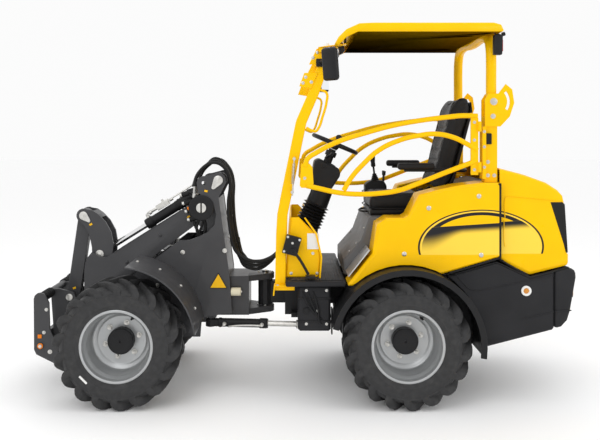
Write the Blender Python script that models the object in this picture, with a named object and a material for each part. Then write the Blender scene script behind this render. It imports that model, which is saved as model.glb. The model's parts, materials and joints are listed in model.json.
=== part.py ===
"""Compact articulated wheel loader with a canopy, no bucket fitted.

Metres, +Z up. The front of the machine points along -X and its left side along -Y.
The origin is on the ground, under the middle of the machine's bounding box.
Outlines are lists of (x, z) points seen from the left side.
"""

import math

import bmesh
import bpy
from mathutils import Matrix, Vector

# Driving dimensions
SIDES = (("left", -1), ("right", 1))
FRONT_AXLE_X = -1.067
REAR_AXLE_X = 0.614
AXLE_Z = 0.372
WHEEL_Y = 0.468
TYRE_RADIUS = 0.372
TYRE_HALF = 0.132
TYRE_SIDES = 28
RIM_SIDES = 20
RIM_HALF = 0.117
FRONT_GUARD_RADIUS = 0.452
REAR_GUARD_RADIUS = 0.438
ARCH_RADIUS = 0.456
GAP = 0.0004
PIN_SIDES = 12

# Joints: (x, z) of pins that lie along Y
BOOM_PIN = (-0.628, 1.130)
TILT_BASE_PIN = (-0.521, 1.304)
ROD_PIN = (-1.302, 0.818)
LINK_PIN = (-1.408, 1.067)
LEVER_PIN = (-1.344, 0.524)
COUPLER_PIN = (-1.423, 0.394)
LINK_FOOT = (-1.483, 0.550)
LIFT_BASE_PIN = (-0.720, 0.360)
LIFT_ROD_PIN = (-0.830, 0.895)
HOOD_HINGE = (1.186, 1.385)
CANOPY_PIVOT = (1.140, 1.788)
# Joints: (x, y) of upright pins
ARTICULATION = (-0.230, 0.0)
STEER_BASE = (-0.570, -0.150)
STEER_ROD = (0.000, -0.200)
STEER_Z = 0.400
GUARD_HINGE_X = 1.050
GUARD_HINGE_Y = 0.482
# Steering wheel
WHEEL_HUB = Vector((0.223, 0.0, 1.520))
WHEEL_TILT = math.radians(23)
WHEEL_RIM = 0.150

# Widths across the machine
TOWER_Y = 0.180
BOOM_Y = 0.090
LEVER_Y = 0.064
LINK_Y = 0.028
EYE_Y = 0.026
EAR_Y = 0.112
COUPLER_Y = 0.315
ROPS_Y = 0.415
BODY_Y = 0.500
HOOD_Y = 0.460
ROOF_Y = 0.540
CORE_Y = 0.305
PANEL_END_X = 1.164

# Pin and rod sizes
PIN = 0.018
HEAVY_PIN = 0.022
ROD = 0.017
SLEEVE = 0.0240
GLAND = 0.538
BARREL = 0.031

LOOKS = {
    "yellow": ((0.97, 0.60, 0.005), 0.35, 0.0),
    "frame_grey": ((0.070, 0.070, 0.074), 0.45, 0.3),
    "body_grey": ((0.032, 0.032, 0.034), 0.6, 0.0),
    "black": ((0.012, 0.012, 0.013), 0.6, 0.0),
    "rubber": ((0.022, 0.022, 0.024), 0.85, 0.0),
    "silver": ((0.62, 0.63, 0.64), 0.35, 0.7),
    "chrome": ((0.80, 0.80, 0.82), 0.12, 1.0),
    "vinyl": ((0.018, 0.018, 0.019), 0.55, 0.0),
}


# Small tools -----------------------------------------------------------------------


def clear_scene():
    for obj in list(bpy.data.objects):
        bpy.data.objects.remove(obj, do_unlink=True)


def look(name):
    """The Principled material of this name, made on first use."""
    found = bpy.data.materials.get(name)
    if found:
        return found
    colour, roughness, metallic = LOOKS[name]
    made = bpy.data.materials.new(name)
    made.use_nodes = True
    shader = made.node_tree.nodes["Principled BSDF"]
    shader.inputs["Base Color"].default_value = (*colour, 1.0)
    shader.inputs["Roughness"].default_value = roughness
    shader.inputs["Metallic"].default_value = metallic
    return made


def solid(rings, closed_loop=False):
    """A closed mesh from equal rings of points, capped unless the rings close a loop."""
    bm = bmesh.new()
    loops = [[bm.verts.new(point) for point in ring] for ring in rings]
    count = len(loops[0])
    pairs = list(zip(loops, loops[1:]))
    if closed_loop:
        pairs.append((loops[-1], loops[0]))
    else:
        bm.faces.new(loops[0])
        bm.faces.new(loops[-1])
    for first, second in pairs:
        for i in range(count):
            j = (i + 1) % count
            bm.faces.new((first[i], first[j], second[j], second[i]))
    bmesh.ops.recalc_face_normals(bm, faces=bm.faces)
    mesh = bpy.data.meshes.new("piece")
    bm.to_mesh(mesh)
    bm.free()
    obj = bpy.data.objects.new("piece", mesh)
    bpy.context.scene.collection.objects.link(obj)
    return obj


def prism(outline, low, high):
    """An (x, z) outline carried along Y."""
    return solid([[(x, y, z) for x, z in outline] for y in (low, high)])


def slab(outline, low, high):
    """An (x, y) outline carried along Z."""
    return solid([[(x, y, z) for x, y in outline] for z in (low, high)])


def box(x, y, z):
    """A block between the two ends of each pair."""
    return prism([(x[0], z[0]), (x[1], z[0]), (x[1], z[1]), (x[0], z[1])], *y)


def round_bar(start, end, radius, sides=PIN_SIDES, end_radius=None):
    """A straight round bar or cone between two points."""
    start, end = Vector(start), Vector(end)
    turn = Vector((0, 0, 1)).rotation_difference(end - start)
    rings = []
    for centre, size in ((start, radius), (end, end_radius or radius)):
        ring = []
        for i in range(sides):
            angle = math.tau * (i + 0.5) / sides
            ring.append(centre + turn @ Vector((size * math.cos(angle), size * math.sin(angle), 0)))
        rings.append(ring)
    return solid(rings)


def pin_along_y(centre, low, high, radius, sides=PIN_SIDES):
    return round_bar((centre[0], low, centre[1]), (centre[0], high, centre[1]), radius, sides)


def upright_pin(centre, low, high, radius, sides=PIN_SIDES):
    return round_bar((centre[0], centre[1], low), (centre[0], centre[1], high), radius, sides)


def bore(radius, sides=PIN_SIDES):
    """The radius of a faceted hole in which a faceted pin of this radius turns freely."""
    return radius / math.cos(math.pi / sides) + GAP


def arc(centre, radius, first, last, steps):
    """(x, z) points on an arc, in degrees from +X towards +Z."""
    points = []
    for i in range(steps + 1):
        angle = math.radians(first + (last - first) * i / steps)
        points.append((centre[0] + radius * math.cos(angle), centre[1] + radius * math.sin(angle)))
    return points


def turned(profile, centre, segments, first=0.0, last=360.0):
    """A closed (y, radius) profile turned about the line along Y through centre."""
    whole = last - first >= 360
    count = segments if whole else segments + 1
    rings = []
    for i in range(count):
        offset = 0.5 if whole else 0.0
        angle = math.radians(first + (last - first) * (i + offset) / segments)
        c, s = math.cos(angle), math.sin(angle)
        rings.append([(centre[0] + r * c, y, centre[1] + r * s) for y, r in profile])
    return solid(rings, closed_loop=whole)


def curved(points, steps):
    """A smooth route through the points, with this many steps between neighbours."""
    points = [Vector(p) for p in points]
    padded = [2 * points[0] - points[1], *points, 2 * points[-1] - points[-2]]
    route = []
    for a, b, c, d in zip(padded, padded[1:], padded[2:], padded[3:]):
        for i in range(steps):
            t = i / steps
            route.append(
                0.5 * (2 * b + (c - a) * t + (2 * a - 5 * b + 4 * c - d) * t**2
                       + (3 * b - a - 3 * c + d) * t**3)
            )
    route.append(points[-1])
    return route


def swept(points, radius, sides=8):
    """A tube of even radius along a route."""
    points = [Vector(p) for p in points]
    heading = (points[1] - points[0]).normalized()
    across = heading.orthogonal().normalized()
    rings = []
    for i, point in enumerate(points):
        before = (point - points[max(i - 1, 0)]).normalized()
        after = (points[min(i + 1, len(points) - 1)] - point).normalized()
        ahead = (before + after).normalized()
        across = (across - ahead * across.dot(ahead)).normalized()
        side = ahead.cross(across)
        bend = max(ahead.dot(after if i == 0 else before), 0.5)
        rings.append([
            point + (across * math.cos(math.tau * k / sides) + side * math.sin(math.tau * k / sides))
            * radius / bend
            for k in range(sides)
        ])
    return solid(rings)


def softened(obj, width, segments=2, angle=50):
    """The piece with its sharp edges rounded."""
    modifier = obj.modifiers.new("Rounded edges", "BEVEL")
    modifier.width = width
    modifier.segments = segments
    modifier.limit_method = "ANGLE"
    modifier.angle_limit = math.radians(angle)
    modifier.use_clamp_overlap = True
    return obj


def with_helpers(obj, helpers, operation):
    """A Boolean of the piece with hidden helper solids."""
    group = bpy.data.collections.new(f"{obj.name}_{operation.lower()}")
    bpy.context.scene.collection.children.link(group)
    for number, helper in enumerate(helpers):
        helper.name = f"{obj.name}_{operation.lower()}_{number}"
        helper.hide_render = True
        helper.display_type = "WIRE"
        for owner in list(helper.users_collection):
            owner.objects.unlink(helper)
        group.objects.link(helper)
    modifier = obj.modifiers.new(operation.title(), "BOOLEAN")
    modifier.operation = operation
    modifier.operand_type = "COLLECTION"
    modifier.collection = group
    modifier.solver = "EXACT"


def part(name, finish, pieces, cutters=(), pivot=None):
    """One named sub-part: the pieces joined, the cutters taken away, hung on its pivot."""
    obj = pieces[0]
    obj.name = name
    obj.data.name = name
    if len(pieces) > 1:
        with_helpers(obj, pieces[1:], "UNION")
    if cutters:
        with_helpers(obj, cutters, "DIFFERENCE")
    obj.data.materials.append(look(finish))
    obj.data.shade_smooth()
    obj.data.set_sharp_from_angle(angle=math.radians(35))
    if pivot:
        place = pivot.matrix_world.translation
        obj.data.transform(Matrix.Translation(-place))
        obj.parent = pivot
    return obj


def pivot(name, place, parent=None):
    """An empty on a joint's axis, which carries the pieces that move with it."""
    empty = bpy.data.objects.new(name, None)
    bpy.context.scene.collection.objects.link(empty)
    empty.empty_display_size = 0.05
    place = Vector(place)
    if parent:
        empty.parent = parent
        place = place - parent.matrix_world.translation
    empty.location = place
    bpy.context.view_layer.update()
    return empty


def at_pin(pin, y=0.0):
    return (pin[0], y, pin[1])


def both(make):
    """The pieces that make(side) gives for the left and the right side."""
    return [piece for _, side in SIDES for piece in make(side)]


def span(side, inner, outer):
    """A Y range on one side, in rising order."""
    return tuple(sorted((side * inner, side * outer)))


# Wheels ----------------------------------------------------------------------------


def tyre(name, centre, side, hub):
    """A tyre casing, open towards the rim."""
    radius = TYRE_RADIUS / math.cos(math.pi / TYRE_SIDES)
    half = [(0.096, 0.2060), (0.113, 0.2060), (TYRE_HALF, 0.275), (0.126, 0.335), (0.100, radius)]
    hollow = [(-0.088, 0.332), (-0.108, 0.275)]
    profile = [*half, *[(-y, r) for y, r in reversed(half)], *[(y, r) for y, r in reversed(hollow)],
               *[(-y, r) for y, r in hollow]]
    profile = [(side * WHEEL_Y + y, r) for y, r in profile]
    part(name, "rubber", [turned(profile, centre, TYRE_SIDES)], pivot=hub)


def rim(name, centre, side, hub):
    """A dished steel rim with its hub, its face towards the outside."""
    section = [
        (-RIM_HALF, 0.213), (-RIM_HALF + 0.004, 0.2020), (-0.080, 0.2005), (-0.060, 0.185),
        (0.060, 0.185), (0.080, 0.2005), (RIM_HALF - 0.004, 0.2020), (RIM_HALF, 0.213),
        (RIM_HALF, 0.203), (0.055, 0.175), (0.010, 0.172), (-0.033, 0.105), (-0.033, 0.079),
        (0.020, 0.070), (0.020, 0.0), (-0.110, 0.0), (-0.110, 0.078), (-0.045, 0.105), (-0.008, 0.176),
        (-0.086, 0.192),
    ]
    profile = [(side * (WHEEL_Y + y), r) for y, r in section]
    whole = turned_with_axis(profile, centre, RIM_SIDES)
    part(name, "silver", [whole], pivot=hub)


def turned_with_axis(profile, centre, segments):
    """A turned solid whose profile touches its axis twice, each time as a single point."""
    bm = bmesh.new()
    rows = []
    for y, r in profile:
        if r == 0.0:
            rows.append([bm.verts.new((centre[0], y, centre[1]))] * segments)
            continue
        ring = []
        for i in range(segments):
            angle = math.tau * (i + 0.5) / segments
            ring.append(bm.verts.new((centre[0] + r * math.cos(angle), y,
                                      centre[1] + r * math.sin(angle))))
        rows.append(ring)
    for first, second in zip(rows, rows[1:] + rows[:1]):
        for i in range(segments):
            j = (i + 1) % segments
            corners = list(dict.fromkeys((first[i], first[j], second[j], second[i])))
            if len(corners) > 2:
                bm.faces.new(corners)
    bmesh.ops.recalc_face_normals(bm, faces=bm.faces)
    mesh = bpy.data.meshes.new("turned")
    bm.to_mesh(mesh)
    bm.free()
    obj = bpy.data.objects.new("turned", mesh)
    bpy.context.scene.collection.objects.link(obj)
    return obj


def wheels(place, axle_x, carrier):
    for name, side in SIDES:
        centre = (axle_x, AXLE_Z)
        hub = pivot(f"hub_{place}_{name}", (axle_x, side * WHEEL_Y, AXLE_Z), carrier)
        tyre(f"tyre_{place}_{name}", centre, side, hub)
        rim(f"rim_{place}_{name}", centre, side, hub)


def axle(name, axle_x, carrier):
    """A tube with its gear case in the middle and a flange at each end."""
    pieces = [
        pin_along_y((axle_x, AXLE_Z), -0.330, 0.330, 0.050),
        softened(box((axle_x - 0.105, axle_x + 0.105), (-0.100, 0.100), (AXLE_Z - 0.09, AXLE_Z + 0.085)), 0.03, 1),
    ]
    for _, side in SIDES:
        pieces.append(pin_along_y((axle_x, AXLE_Z), *span(side, 0.290, 0.331), 0.095))
        pieces.append(softened(box((axle_x - 0.07, axle_x + 0.07), span(side, 0.100, 0.155),
                                   (AXLE_Z - 0.06, AXLE_Z + 0.085)), 0.01, 1))
    part(name, "body_grey", pieces, pivot=carrier)


# Front frame -----------------------------------------------------------------------


def tower_plate_outline():
    """The side plate of the front frame, from its rear foot round to its front foot."""
    return [
        (-0.434, 0.465), (-0.451, 0.709), (-0.519, 1.198), (-0.476, 1.285),
        *arc(TILT_BASE_PIN, 0.048, -10, 120, 5), (-0.600, 1.331), *arc((-0.614, 1.285), 0.045, 100, 200, 4),
        (-0.650, 1.225), (-0.600, 1.190), (-0.556, 1.155), (-0.535, 1.090), (-0.545, 1.020),
        (-0.590, 0.975), (-0.650, 0.945), (-0.705, 0.925), (-0.765, 0.925), (-0.965, 0.775),
        (-1.150, 0.640), (-1.190, 0.560), (-1.190, 0.4725), (-0.930, 0.4725), (-0.860, 0.315),
        (-0.635, 0.315), (-0.625, 0.438),
    ]


def front_frame(carrier):
    outline = tower_plate_outline()
    pieces = both(lambda side: [prism(outline, *span(side, 0.166, TOWER_Y))])
    boss = [(-0.690, 1.060), (-0.710, 1.130), (-0.680, 1.190), (-0.628, 1.212), (-0.560, 1.180),
            (-0.505, 1.060), (-0.490, 0.900), (-0.560, 0.900)]
    pieces += both(lambda side: [prism(boss, *span(side, 0.108, 0.122))])
    pieces.append(prism([(-0.534, 1.190), (-0.520, 1.190), (-0.452, 0.700), (-0.436, 0.466),
                         (-0.452, 0.466), (-0.468, 0.700)], -0.170, 0.170))
    pieces.append(box((-1.185, -0.935), (-0.170, 0.170), (0.473, 0.488)))
    pieces.append(box((-1.190, -1.176), (-0.170, 0.170), (0.475, 0.502)))
    pieces.append(box((-0.660, -0.590), (-0.170, 0.170), (0.440, 0.470)))
    pieces.append(box((-0.600, -0.330), (-0.130, 0.130), (0.440, 0.480)))
    pieces.append(box((-0.460, -0.330), (-0.130, 0.130), (0.445, 0.688)))
    tongue = [(-0.335, -0.120), (-0.335, 0.120), *reversed(plan_arc(ARTICULATION, 0.058, -75, 75, 6))]
    pieces.append(slab(tongue, 0.440, 0.478))
    pieces.append(slab(tongue, 0.652, 0.690))
    pieces.append(upright_pin(ARTICULATION, 0.432, 0.700, HEAVY_PIN))
    pieces.append(pin_along_y(BOOM_PIN, -0.138, 0.138, HEAVY_PIN))
    pieces.append(pin_along_y(TILT_BASE_PIN, -0.186, 0.186, PIN))
    pieces.append(pin_along_y(LIFT_BASE_PIN, -0.184, 0.184, PIN))
    bracket = [(STEER_BASE[0] - 0.035, -0.165), (STEER_BASE[0] + 0.035, -0.165),
               (STEER_BASE[0] + 0.035, -0.100), (STEER_BASE[0] - 0.035, -0.100)]
    pieces.append(slab(bracket, 0.432, 0.470))
    pieces.append(upright_pin(STEER_BASE, 0.372, 0.440, 0.014))
    holes = [pin_along_y((-0.614, 1.285), -0.200, 0.200, 0.014)]
    part("front_frame", "frame_grey", pieces, holes, carrier)


def plan_arc(centre, radius, first, last, steps):
    """(x, y) points on an arc, in degrees from +X towards +Y."""
    return arc(centre, radius, first, last, steps)


def front_mudguards(carrier):
    """A curved sheet behind each front wheel, from the tower out over the tyre."""
    for name, side in SIDES:
        low, high = sorted((side * 0.1808, side * 0.580))
        profile = [(low, FRONT_GUARD_RADIUS), (high, FRONT_GUARD_RADIUS),
                   (high, FRONT_GUARD_RADIUS + 0.008), (low, FRONT_GUARD_RADIUS + 0.008)]
        band = turned(profile, (FRONT_AXLE_X, AXLE_Z), 12, 8, 84)
        part(f"mudguard_front_{name}", "frame_grey", [band], pivot=carrier)


# Arm -------------------------------------------------------------------------------


def boom(carrier):
    outline = [
        (-0.640, 1.194), (-0.780, 1.098), (-1.252, 0.802), (-1.300, 0.806), (-1.345, 0.836),
        (-1.3765, 0.798), (-1.392, 0.746), (-1.396, 0.660), (-1.394, 0.530), (-1.470, 0.420),
        *arc(COUPLER_PIN, 0.048, 190, 320, 5), (-1.300, 0.470), (-1.160, 0.640), (-0.963, 0.797),
        (-0.765, 0.946), (-0.590, 1.076), *arc(BOOM_PIN, 0.064, -40, 90, 5),
    ]
    pieces = both(lambda side: [prism(outline, *span(side, 0.075, BOOM_Y))])
    top = [(-0.780, 1.062), (-1.112, 0.8535), (-1.105, 0.843), (-0.773, 1.052)]
    pieces.append(prism(top, -0.080, 0.080))
    belly = [(-1.310, 0.462), (-1.165, 0.636), (-1.010, 0.760), (-1.002, 0.750), (-1.157, 0.626),
             (-1.300, 0.454)]
    lifted = [(x - 0.008, z + 0.011) for x, z in belly]
    pieces.append(prism(lifted, -0.080, 0.080))
    pieces.append(pin_along_y(BOOM_PIN, -0.101, 0.101, 0.043, 16))
    pieces.append(pin_along_y(COUPLER_PIN, -0.091, 0.091, 0.042))
    for _, side in SIDES:
        pieces.append(pin_along_y(LEVER_PIN, *span(side, 0.0705, 0.098), 0.040))
        pieces.append(pin_along_y(LIFT_ROD_PIN, *span(side, 0.0315, 0.080), 0.016))
    holes = [
        pin_along_y(BOOM_PIN, -0.2, 0.2, bore(HEAVY_PIN)),
        pin_along_y(COUPLER_PIN, -0.2, 0.2, bore(PIN)),
        pin_along_y(LEVER_PIN, -0.2, 0.2, bore(PIN)),
    ]
    part("boom", "frame_grey", pieces, holes, carrier)


def tilt_lever(carrier):
    """Two curved plates that share a web along their rear edge."""
    outline = [
        *arc(LINK_PIN, 0.046, 215, 60, 7), (-1.350, 1.101), (-1.310, 1.074), (-1.264, 1.025),
        (-1.228, 0.959), (-1.214, 0.880), (-1.222, 0.800), (-1.262, 0.640),
        *arc(LEVER_PIN, 0.044, 10, -190, 8), (-1.385, 0.600), (-1.362, 0.700), (-1.352, 0.800),
        (-1.353, 0.859), (-1.362, 0.906), (-1.374, 0.950), (-1.400, 1.000),
    ]
    pieces = both(lambda side: [prism(outline, *span(side, 0.051, LEVER_Y))])
    web = [(-1.346, 1.098), (-1.310, 1.074), (-1.292, 1.055), (-1.304, 1.045), (-1.318, 1.061), (-1.352, 1.085)]
    pieces.append(prism(web, -0.055, 0.055))
    for _, side in SIDES:
        pieces.append(pin_along_y(ROD_PIN, *span(side, 0.0315, 0.055), PIN))
    holes = [pin_along_y(LINK_PIN, -0.1, 0.1, bore(PIN)), pin_along_y(LEVER_PIN, -0.1, 0.1, bore(PIN))]
    part("tilt_lever", "frame_grey", pieces, holes, carrier)


def bar_outline(first, last, radius):
    """A straight bar with round ends between two pins."""
    heading = math.degrees(math.atan2(last[1] - first[1], last[0] - first[0]))
    return [*arc(last, radius, heading - 90, heading + 90, 6),
            *arc(first, radius, heading + 90, heading + 270, 6)]


def tilt_link(carrier):
    bar = prism(bar_outline(LINK_PIN, LINK_FOOT, 0.042), -LINK_Y, LINK_Y)
    holes = [pin_along_y(LINK_PIN, -0.1, 0.1, bore(PIN)), pin_along_y(LINK_FOOT, -0.1, 0.1, bore(PIN))]
    part("tilt_link", "frame_grey", [bar], holes, carrier)


def coupler(carrier):
    """The tool carrier: hooks at the top of two side plates, lock pins at the bottom."""
    plate = [
        *arc((-1.600, 0.585), 0.038, 180, 20, 5), (-1.545, 0.560), (-1.540, 0.400), (-1.500, 0.310),
        (-1.474, 0.245), (-1.480, 0.196), (-1.500, 0.185), (-1.622, 0.245), (-1.636, 0.275),
    ]
    pieces = both(lambda side: [prism(plate, *span(side, 0.300, COUPLER_Y))])
    ear = [(-1.604, 0.600), (-1.550, 0.604), *arc(LINK_FOOT, 0.036, 80, 0, 3),
           *arc(COUPLER_PIN, 0.042, 30, -100, 5), (-1.520, 0.236), (-1.560, 0.240), (-1.585, 0.330)]
    pieces += both(lambda side: [prism(ear, *span(side, 0.098, EAR_Y))])
    pieces.append(pin_along_y((-1.600, 0.585), -0.306, 0.306, 0.024, 12))
    pieces.append(pin_along_y((-1.538, 0.262), -0.306, 0.306, 0.022, 12))
    pieces.append(box((-1.632, -1.604), (-0.306, 0.306), (0.262, 0.342)))
    pieces.append(box((-1.610, -1.540), (-0.112, 0.112), (0.262, 0.286)))
    for _, side in SIDES:
        pieces.append(pin_along_y(LINK_FOOT, *span(side, 0.0335, 0.102), PIN))
        pieces.append(pin_along_y((-1.594, 0.300), *span(side, 0.300, 0.324), 0.016, 12))
    holes = [pin_along_y(COUPLER_PIN, -0.2, 0.2, bore(PIN))]
    part("coupler", "frame_grey", pieces, holes, carrier)


def joint_pin(name, centre, half, carrier):
    """A pin with a flat head at each end, outside what it holds."""
    pieces = [pin_along_y(centre, -half, half, PIN)]
    for _, side in SIDES:
        pieces.append(pin_along_y(centre, *span(side, half - 0.006, half), 0.027, 12))
    part(name, "silver", pieces, pivot=carrier)


# Cylinders -------------------------------------------------------------------------


def cylinder_pair(stem, base, eye, length, rod_end, lug, carriers, upright=False, sleeve=None):
    """A hydraulic cylinder between two pins: its barrel with a bore, and the rod that starts
    rod_end from the base pin."""
    base, eye = Vector(base), Vector(eye)
    along = (eye - base).normalized()
    sideways = Vector((0, 0, 1)) if upright else Vector((0, 1, 0))
    lug_half = sideways * EYE_Y * (0.85 if upright else 1.0)
    mouth = base + along * length
    barrel = [
        round_bar(base + along * 0.020, mouth, BARREL * lug),
        round_bar(base - lug_half, base + lug_half, 0.040 * lug),
        round_bar(mouth - along * 0.045, mouth + along * 0.004, BARREL * lug * 1.12),
    ]
    hole = 0.014 if upright else PIN
    cuts = [
        round_bar(base + along * 0.050, mouth + along * 0.05, bore(ROD)),
        round_bar(base - sideways * 0.1, base + sideways * 0.1, bore(hole)),
    ]
    if sleeve is not None:
        cuts.append(round_bar(base + along * 0.050, base + along * GLAND, bore(sleeve)))
    part(f"{stem}_barrel", "frame_grey", barrel, cuts, carriers[0])
    rod = [
        round_bar(base + along * rod_end, eye - along * 0.010, ROD),
        round_bar(eye - lug_half, eye + lug_half, 0.036 * lug),
    ]
    eyes = [round_bar(eye - sideways * 0.1, eye + sideways * 0.1, bore(hole))]
    part(f"{stem}_rod", "chrome", rod, eyes, carriers[1])


def tilt_piston(carrier):
    """The sleeve inside the tilt barrel that the rod slides through."""
    base, eye = Vector(at_pin(TILT_BASE_PIN)), Vector(at_pin(ROD_PIN))
    along = (eye - base).normalized()
    sleeve = round_bar(base + along * 0.410, base + along * 0.525, SLEEVE)
    hole = round_bar(base + along * 0.350, base + along * 0.600, bore(ROD))
    part("tilt_piston", "frame_grey", [sleeve], [hole], carrier)


# Rear frame ------------------------------------------------------------------------


def rear_chassis():
    pieces = [box((-0.100, 0.020), (-0.160, 0.160), (0.452, 0.672))]
    for _, side in SIDES:
        pieces.append(box((0.010, 1.440), span(side, 0.110, 0.150), (0.520, 0.660)))
    pieces.append(box((0.480, 0.748), (-0.170, 0.170), (0.4585, 0.600)))
    pieces.append(box((1.380, 1.440), (-0.152, 0.152), (0.510, 0.670)))
    pieces.append(box((0.180, 0.230), (-0.115, 0.115), (0.530, 0.650)))
    pieces.append(box((-0.225, -0.090), (-0.030, 0.030), (0.495, 0.636)))
    pieces.append(upright_pin(ARTICULATION, 0.485, 0.646, 0.048))
    pieces.append(box((-0.060, 0.034), (-0.236, -0.150), (0.452, 0.480)))
    pieces.append(upright_pin(STEER_ROD, 0.4265, 0.460, 0.014))
    holes = [upright_pin(ARTICULATION, 0.4, 0.8, bore(HEAVY_PIN))]
    part("rear_chassis", "frame_grey", pieces, holes)


def engine_block():
    block = softened(box((1.015, 1.420), (-0.200, 0.200), (0.6755, 1.120)), 0.02, 1)
    part("engine_block", "body_grey", [block])


def floor_plate():
    """The operator's floor with its raised side lips."""
    pieces = [softened(box((-0.092, 0.262), (-BODY_Y, BODY_Y), (0.697, 0.730)), 0.006, 1)]
    part("floor_plate", "body_grey", pieces)


def side_tanks():
    """The battery box on the left and the oil tank on the right, hung under the floor."""
    for name, side in (("battery_box", -1), ("oil_tank", 1)):
        tank = softened(box((-0.020, 0.175), span(side, 0.252, 0.455), (0.425, 0.6965)), 0.012, 1)
        part(name, "black", [tank])


def front_cowl():
    """A folded sheet between the front posts, open towards the operator."""
    outer = [(-0.098, 0.7305), (0.110, 0.7305), (0.122, 0.860), (0.090, 1.000), (-0.010, 1.100),
             (-0.068, 1.100)]
    shell = softened(prism(outer, -0.404, 0.404), 0.012, 1)
    hollow = [(-0.090, 0.600), (0.300, 0.600), (0.300, 1.300), (-0.060, 1.300), (-0.060, 1.100)]
    part("front_cowl", "yellow", [shell], [prism(hollow, -0.396, 0.396)])


def control_box():
    """A small sealed box on the outside of the left front post."""
    lid = softened(box((-0.112, 0.000), (-0.462, -0.4305), (0.870, 1.000)), 0.006, 1)
    part("control_box", "black", [lid])


def steering_column():
    """The bellows at the foot, the cover above it and the instrument console on top."""
    lean = Vector((math.sin(WHEEL_TILT), 0, math.cos(WHEEL_TILT)))
    foot = Vector((0.045, 0, 0.990))
    pieces = [
        round_bar(foot - lean * 0.02, foot + lean * 0.150, 0.088, 16, 0.075),
        round_bar(foot + lean * 0.140, foot + lean * 0.290, 0.070, 16, 0.062),
        round_bar(foot + lean * 0.280, WHEEL_HUB - lean * 0.028, 0.024, 12),
        softened(prism([(0.060, 1.262), (0.196, 1.235), (0.258, 1.330), (0.250, 1.372), (0.122, 1.438),
                        (0.090, 1.425)], -0.105, 0.105), 0.014, 1),
    ]
    part("steering_column", "black", pieces)


def steering_wheel(carrier):
    lean = Vector((math.sin(WHEEL_TILT), 0, math.cos(WHEEL_TILT)))
    ahead = Vector((-math.cos(WHEEL_TILT), 0, math.sin(WHEEL_TILT)))
    across = Vector((0, 1, 0))
    centre = WHEEL_HUB + lean * 0.012
    minor = 0.0135
    rings = []
    for i in range(22):
        angle = math.tau * i / 22
        out = ahead * math.cos(angle) + across * math.sin(angle)
        rings.append([
            centre + out * (WHEEL_RIM + minor * math.cos(math.tau * k / 6))
            + lean * minor * math.sin(math.tau * k / 6)
            for k in range(6)
        ])
    pieces = [solid(rings, closed_loop=True), round_bar(WHEEL_HUB - lean * 0.020, centre + lean * 0.012, 0.034, 12)]
    for angle in (90, 210, 330):
        out = ahead * math.cos(math.radians(angle)) + across * math.sin(math.radians(angle))
        pieces.append(round_bar(WHEEL_HUB + lean * 0.004 + out * 0.015, centre + out * (WHEEL_RIM - 0.002), 0.008, 8))
    knob = centre - across * WHEEL_RIM
    pieces.append(round_bar(knob, knob + lean * 0.036, 0.007, 8))
    pieces.append(round_bar(knob + lean * 0.030, knob + lean * 0.062, 0.021, 12, 0.017))
    part("steering_wheel", "black", pieces, pivot=carrier)


def seat_box():
    """The cover over the middle of the rear frame, with the seat's platform on it."""
    outline = [(0.263, 0.731), (0.263, 0.823), (0.369, 0.944), (0.420, 1.085), (0.980, 1.085),
               (1.035, 1.270), (1.250, 1.330), (1.250, 0.731)]
    shell = softened(prism(outline, -CORE_Y, CORE_Y), 0.008, 1)
    hollow = [(0.273, 0.600), (0.273, 0.819), (0.378, 0.939), (0.427, 1.075), (0.988, 1.075),
              (1.043, 1.262), (1.300, 1.334), (1.300, 0.600)]
    cutters = [prism(hollow, -CORE_Y + 0.010, CORE_Y - 0.010), box((PANEL_END_X, 1.4), (-1, 1), (0.5, 1.5))]
    part("seat_box", "body_grey", [shell], cutters)


def side_panels():
    """The yellow side covers: an upright wall with a shoulder that reaches in to the seat."""
    wheel = (REAR_AXLE_X, AXLE_Z)
    outline = [
        (0.263, 0.700), (0.418, 0.895), (0.4445, 1.0635), (0.5055, 1.1005), (0.622, 1.1005),
        (0.6925, 1.2375), (0.800, 1.266), (0.922, 1.292), (1.0595, 1.309), (1.250, 1.309),
        (1.250, 0.8815), (1.140, 0.861), (0.8385, 0.772), (0.700, 0.740), (0.400, 0.700),
    ]
    inside = [
        (0.200, 0.500), (0.282, 0.708), (0.427, 0.890), (0.453, 1.057), (0.508, 1.090), (0.628, 1.090),
        (0.699, 1.229), (0.802, 1.256), (0.924, 1.282), (1.058, 1.299), (1.300, 1.299), (1.300, 0.500),
    ]
    for name, side in SIDES:
        shell = softened(prism(outline, *span(side, 0.200, BODY_Y)), 0.016, 1)
        cutters = [
            pin_along_y(wheel, *span(side, 0.1, 0.7), ARCH_RADIUS, 40),
            prism(inside, *span(side, 0.1, BODY_Y - 0.012)),
            box((0.0, 1.4), span(side, 0.1, CORE_Y + 0.0015), (0.5, 1.5)),
            box((PANEL_END_X, 1.5), span(side, 0.1, 0.7), (0.4, 1.6)),
        ]
        part(f"side_panel_{name}", "yellow", [shell], cutters)


def lower_panels():
    """The dark covers below the side panels and the hood."""
    outline = [
        (0.860, 0.757), (1.080, 0.820), (1.155, 0.842), (1.351, 0.7495), (1.490, 0.785), (1.490, 0.443),
        (1.0675, 0.334), (1.019, 0.5145), (0.960, 0.650),
    ]
    for name, side in SIDES:
        panel = softened(prism(outline, *span(side, 0.440, 0.480)), 0.010, 1)
        arch = pin_along_y((REAR_AXLE_X, AXLE_Z), *span(side, 0.2, 0.7), ARCH_RADIUS, 40)
        part(f"lower_panel_{name}", "body_grey", [panel], [arch])


def rear_counterweight():
    """The cast block across the tail, with a flat pad for a hitch."""
    outline = [(1.4935, 0.784), (1.575, 0.806), (1.620, 0.794), (1.624, 0.749), (1.590, 0.553),
               (1.572, 0.4945), (1.536, 0.4556), (1.4935, 0.4450)]
    pieces = [softened(prism(outline, -0.480, 0.480), 0.020, 2, 60),
              box((1.540, 1.638), (-0.090, 0.090), (0.600, 0.720))]
    part("rear_counterweight", "body_grey", pieces)


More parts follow.
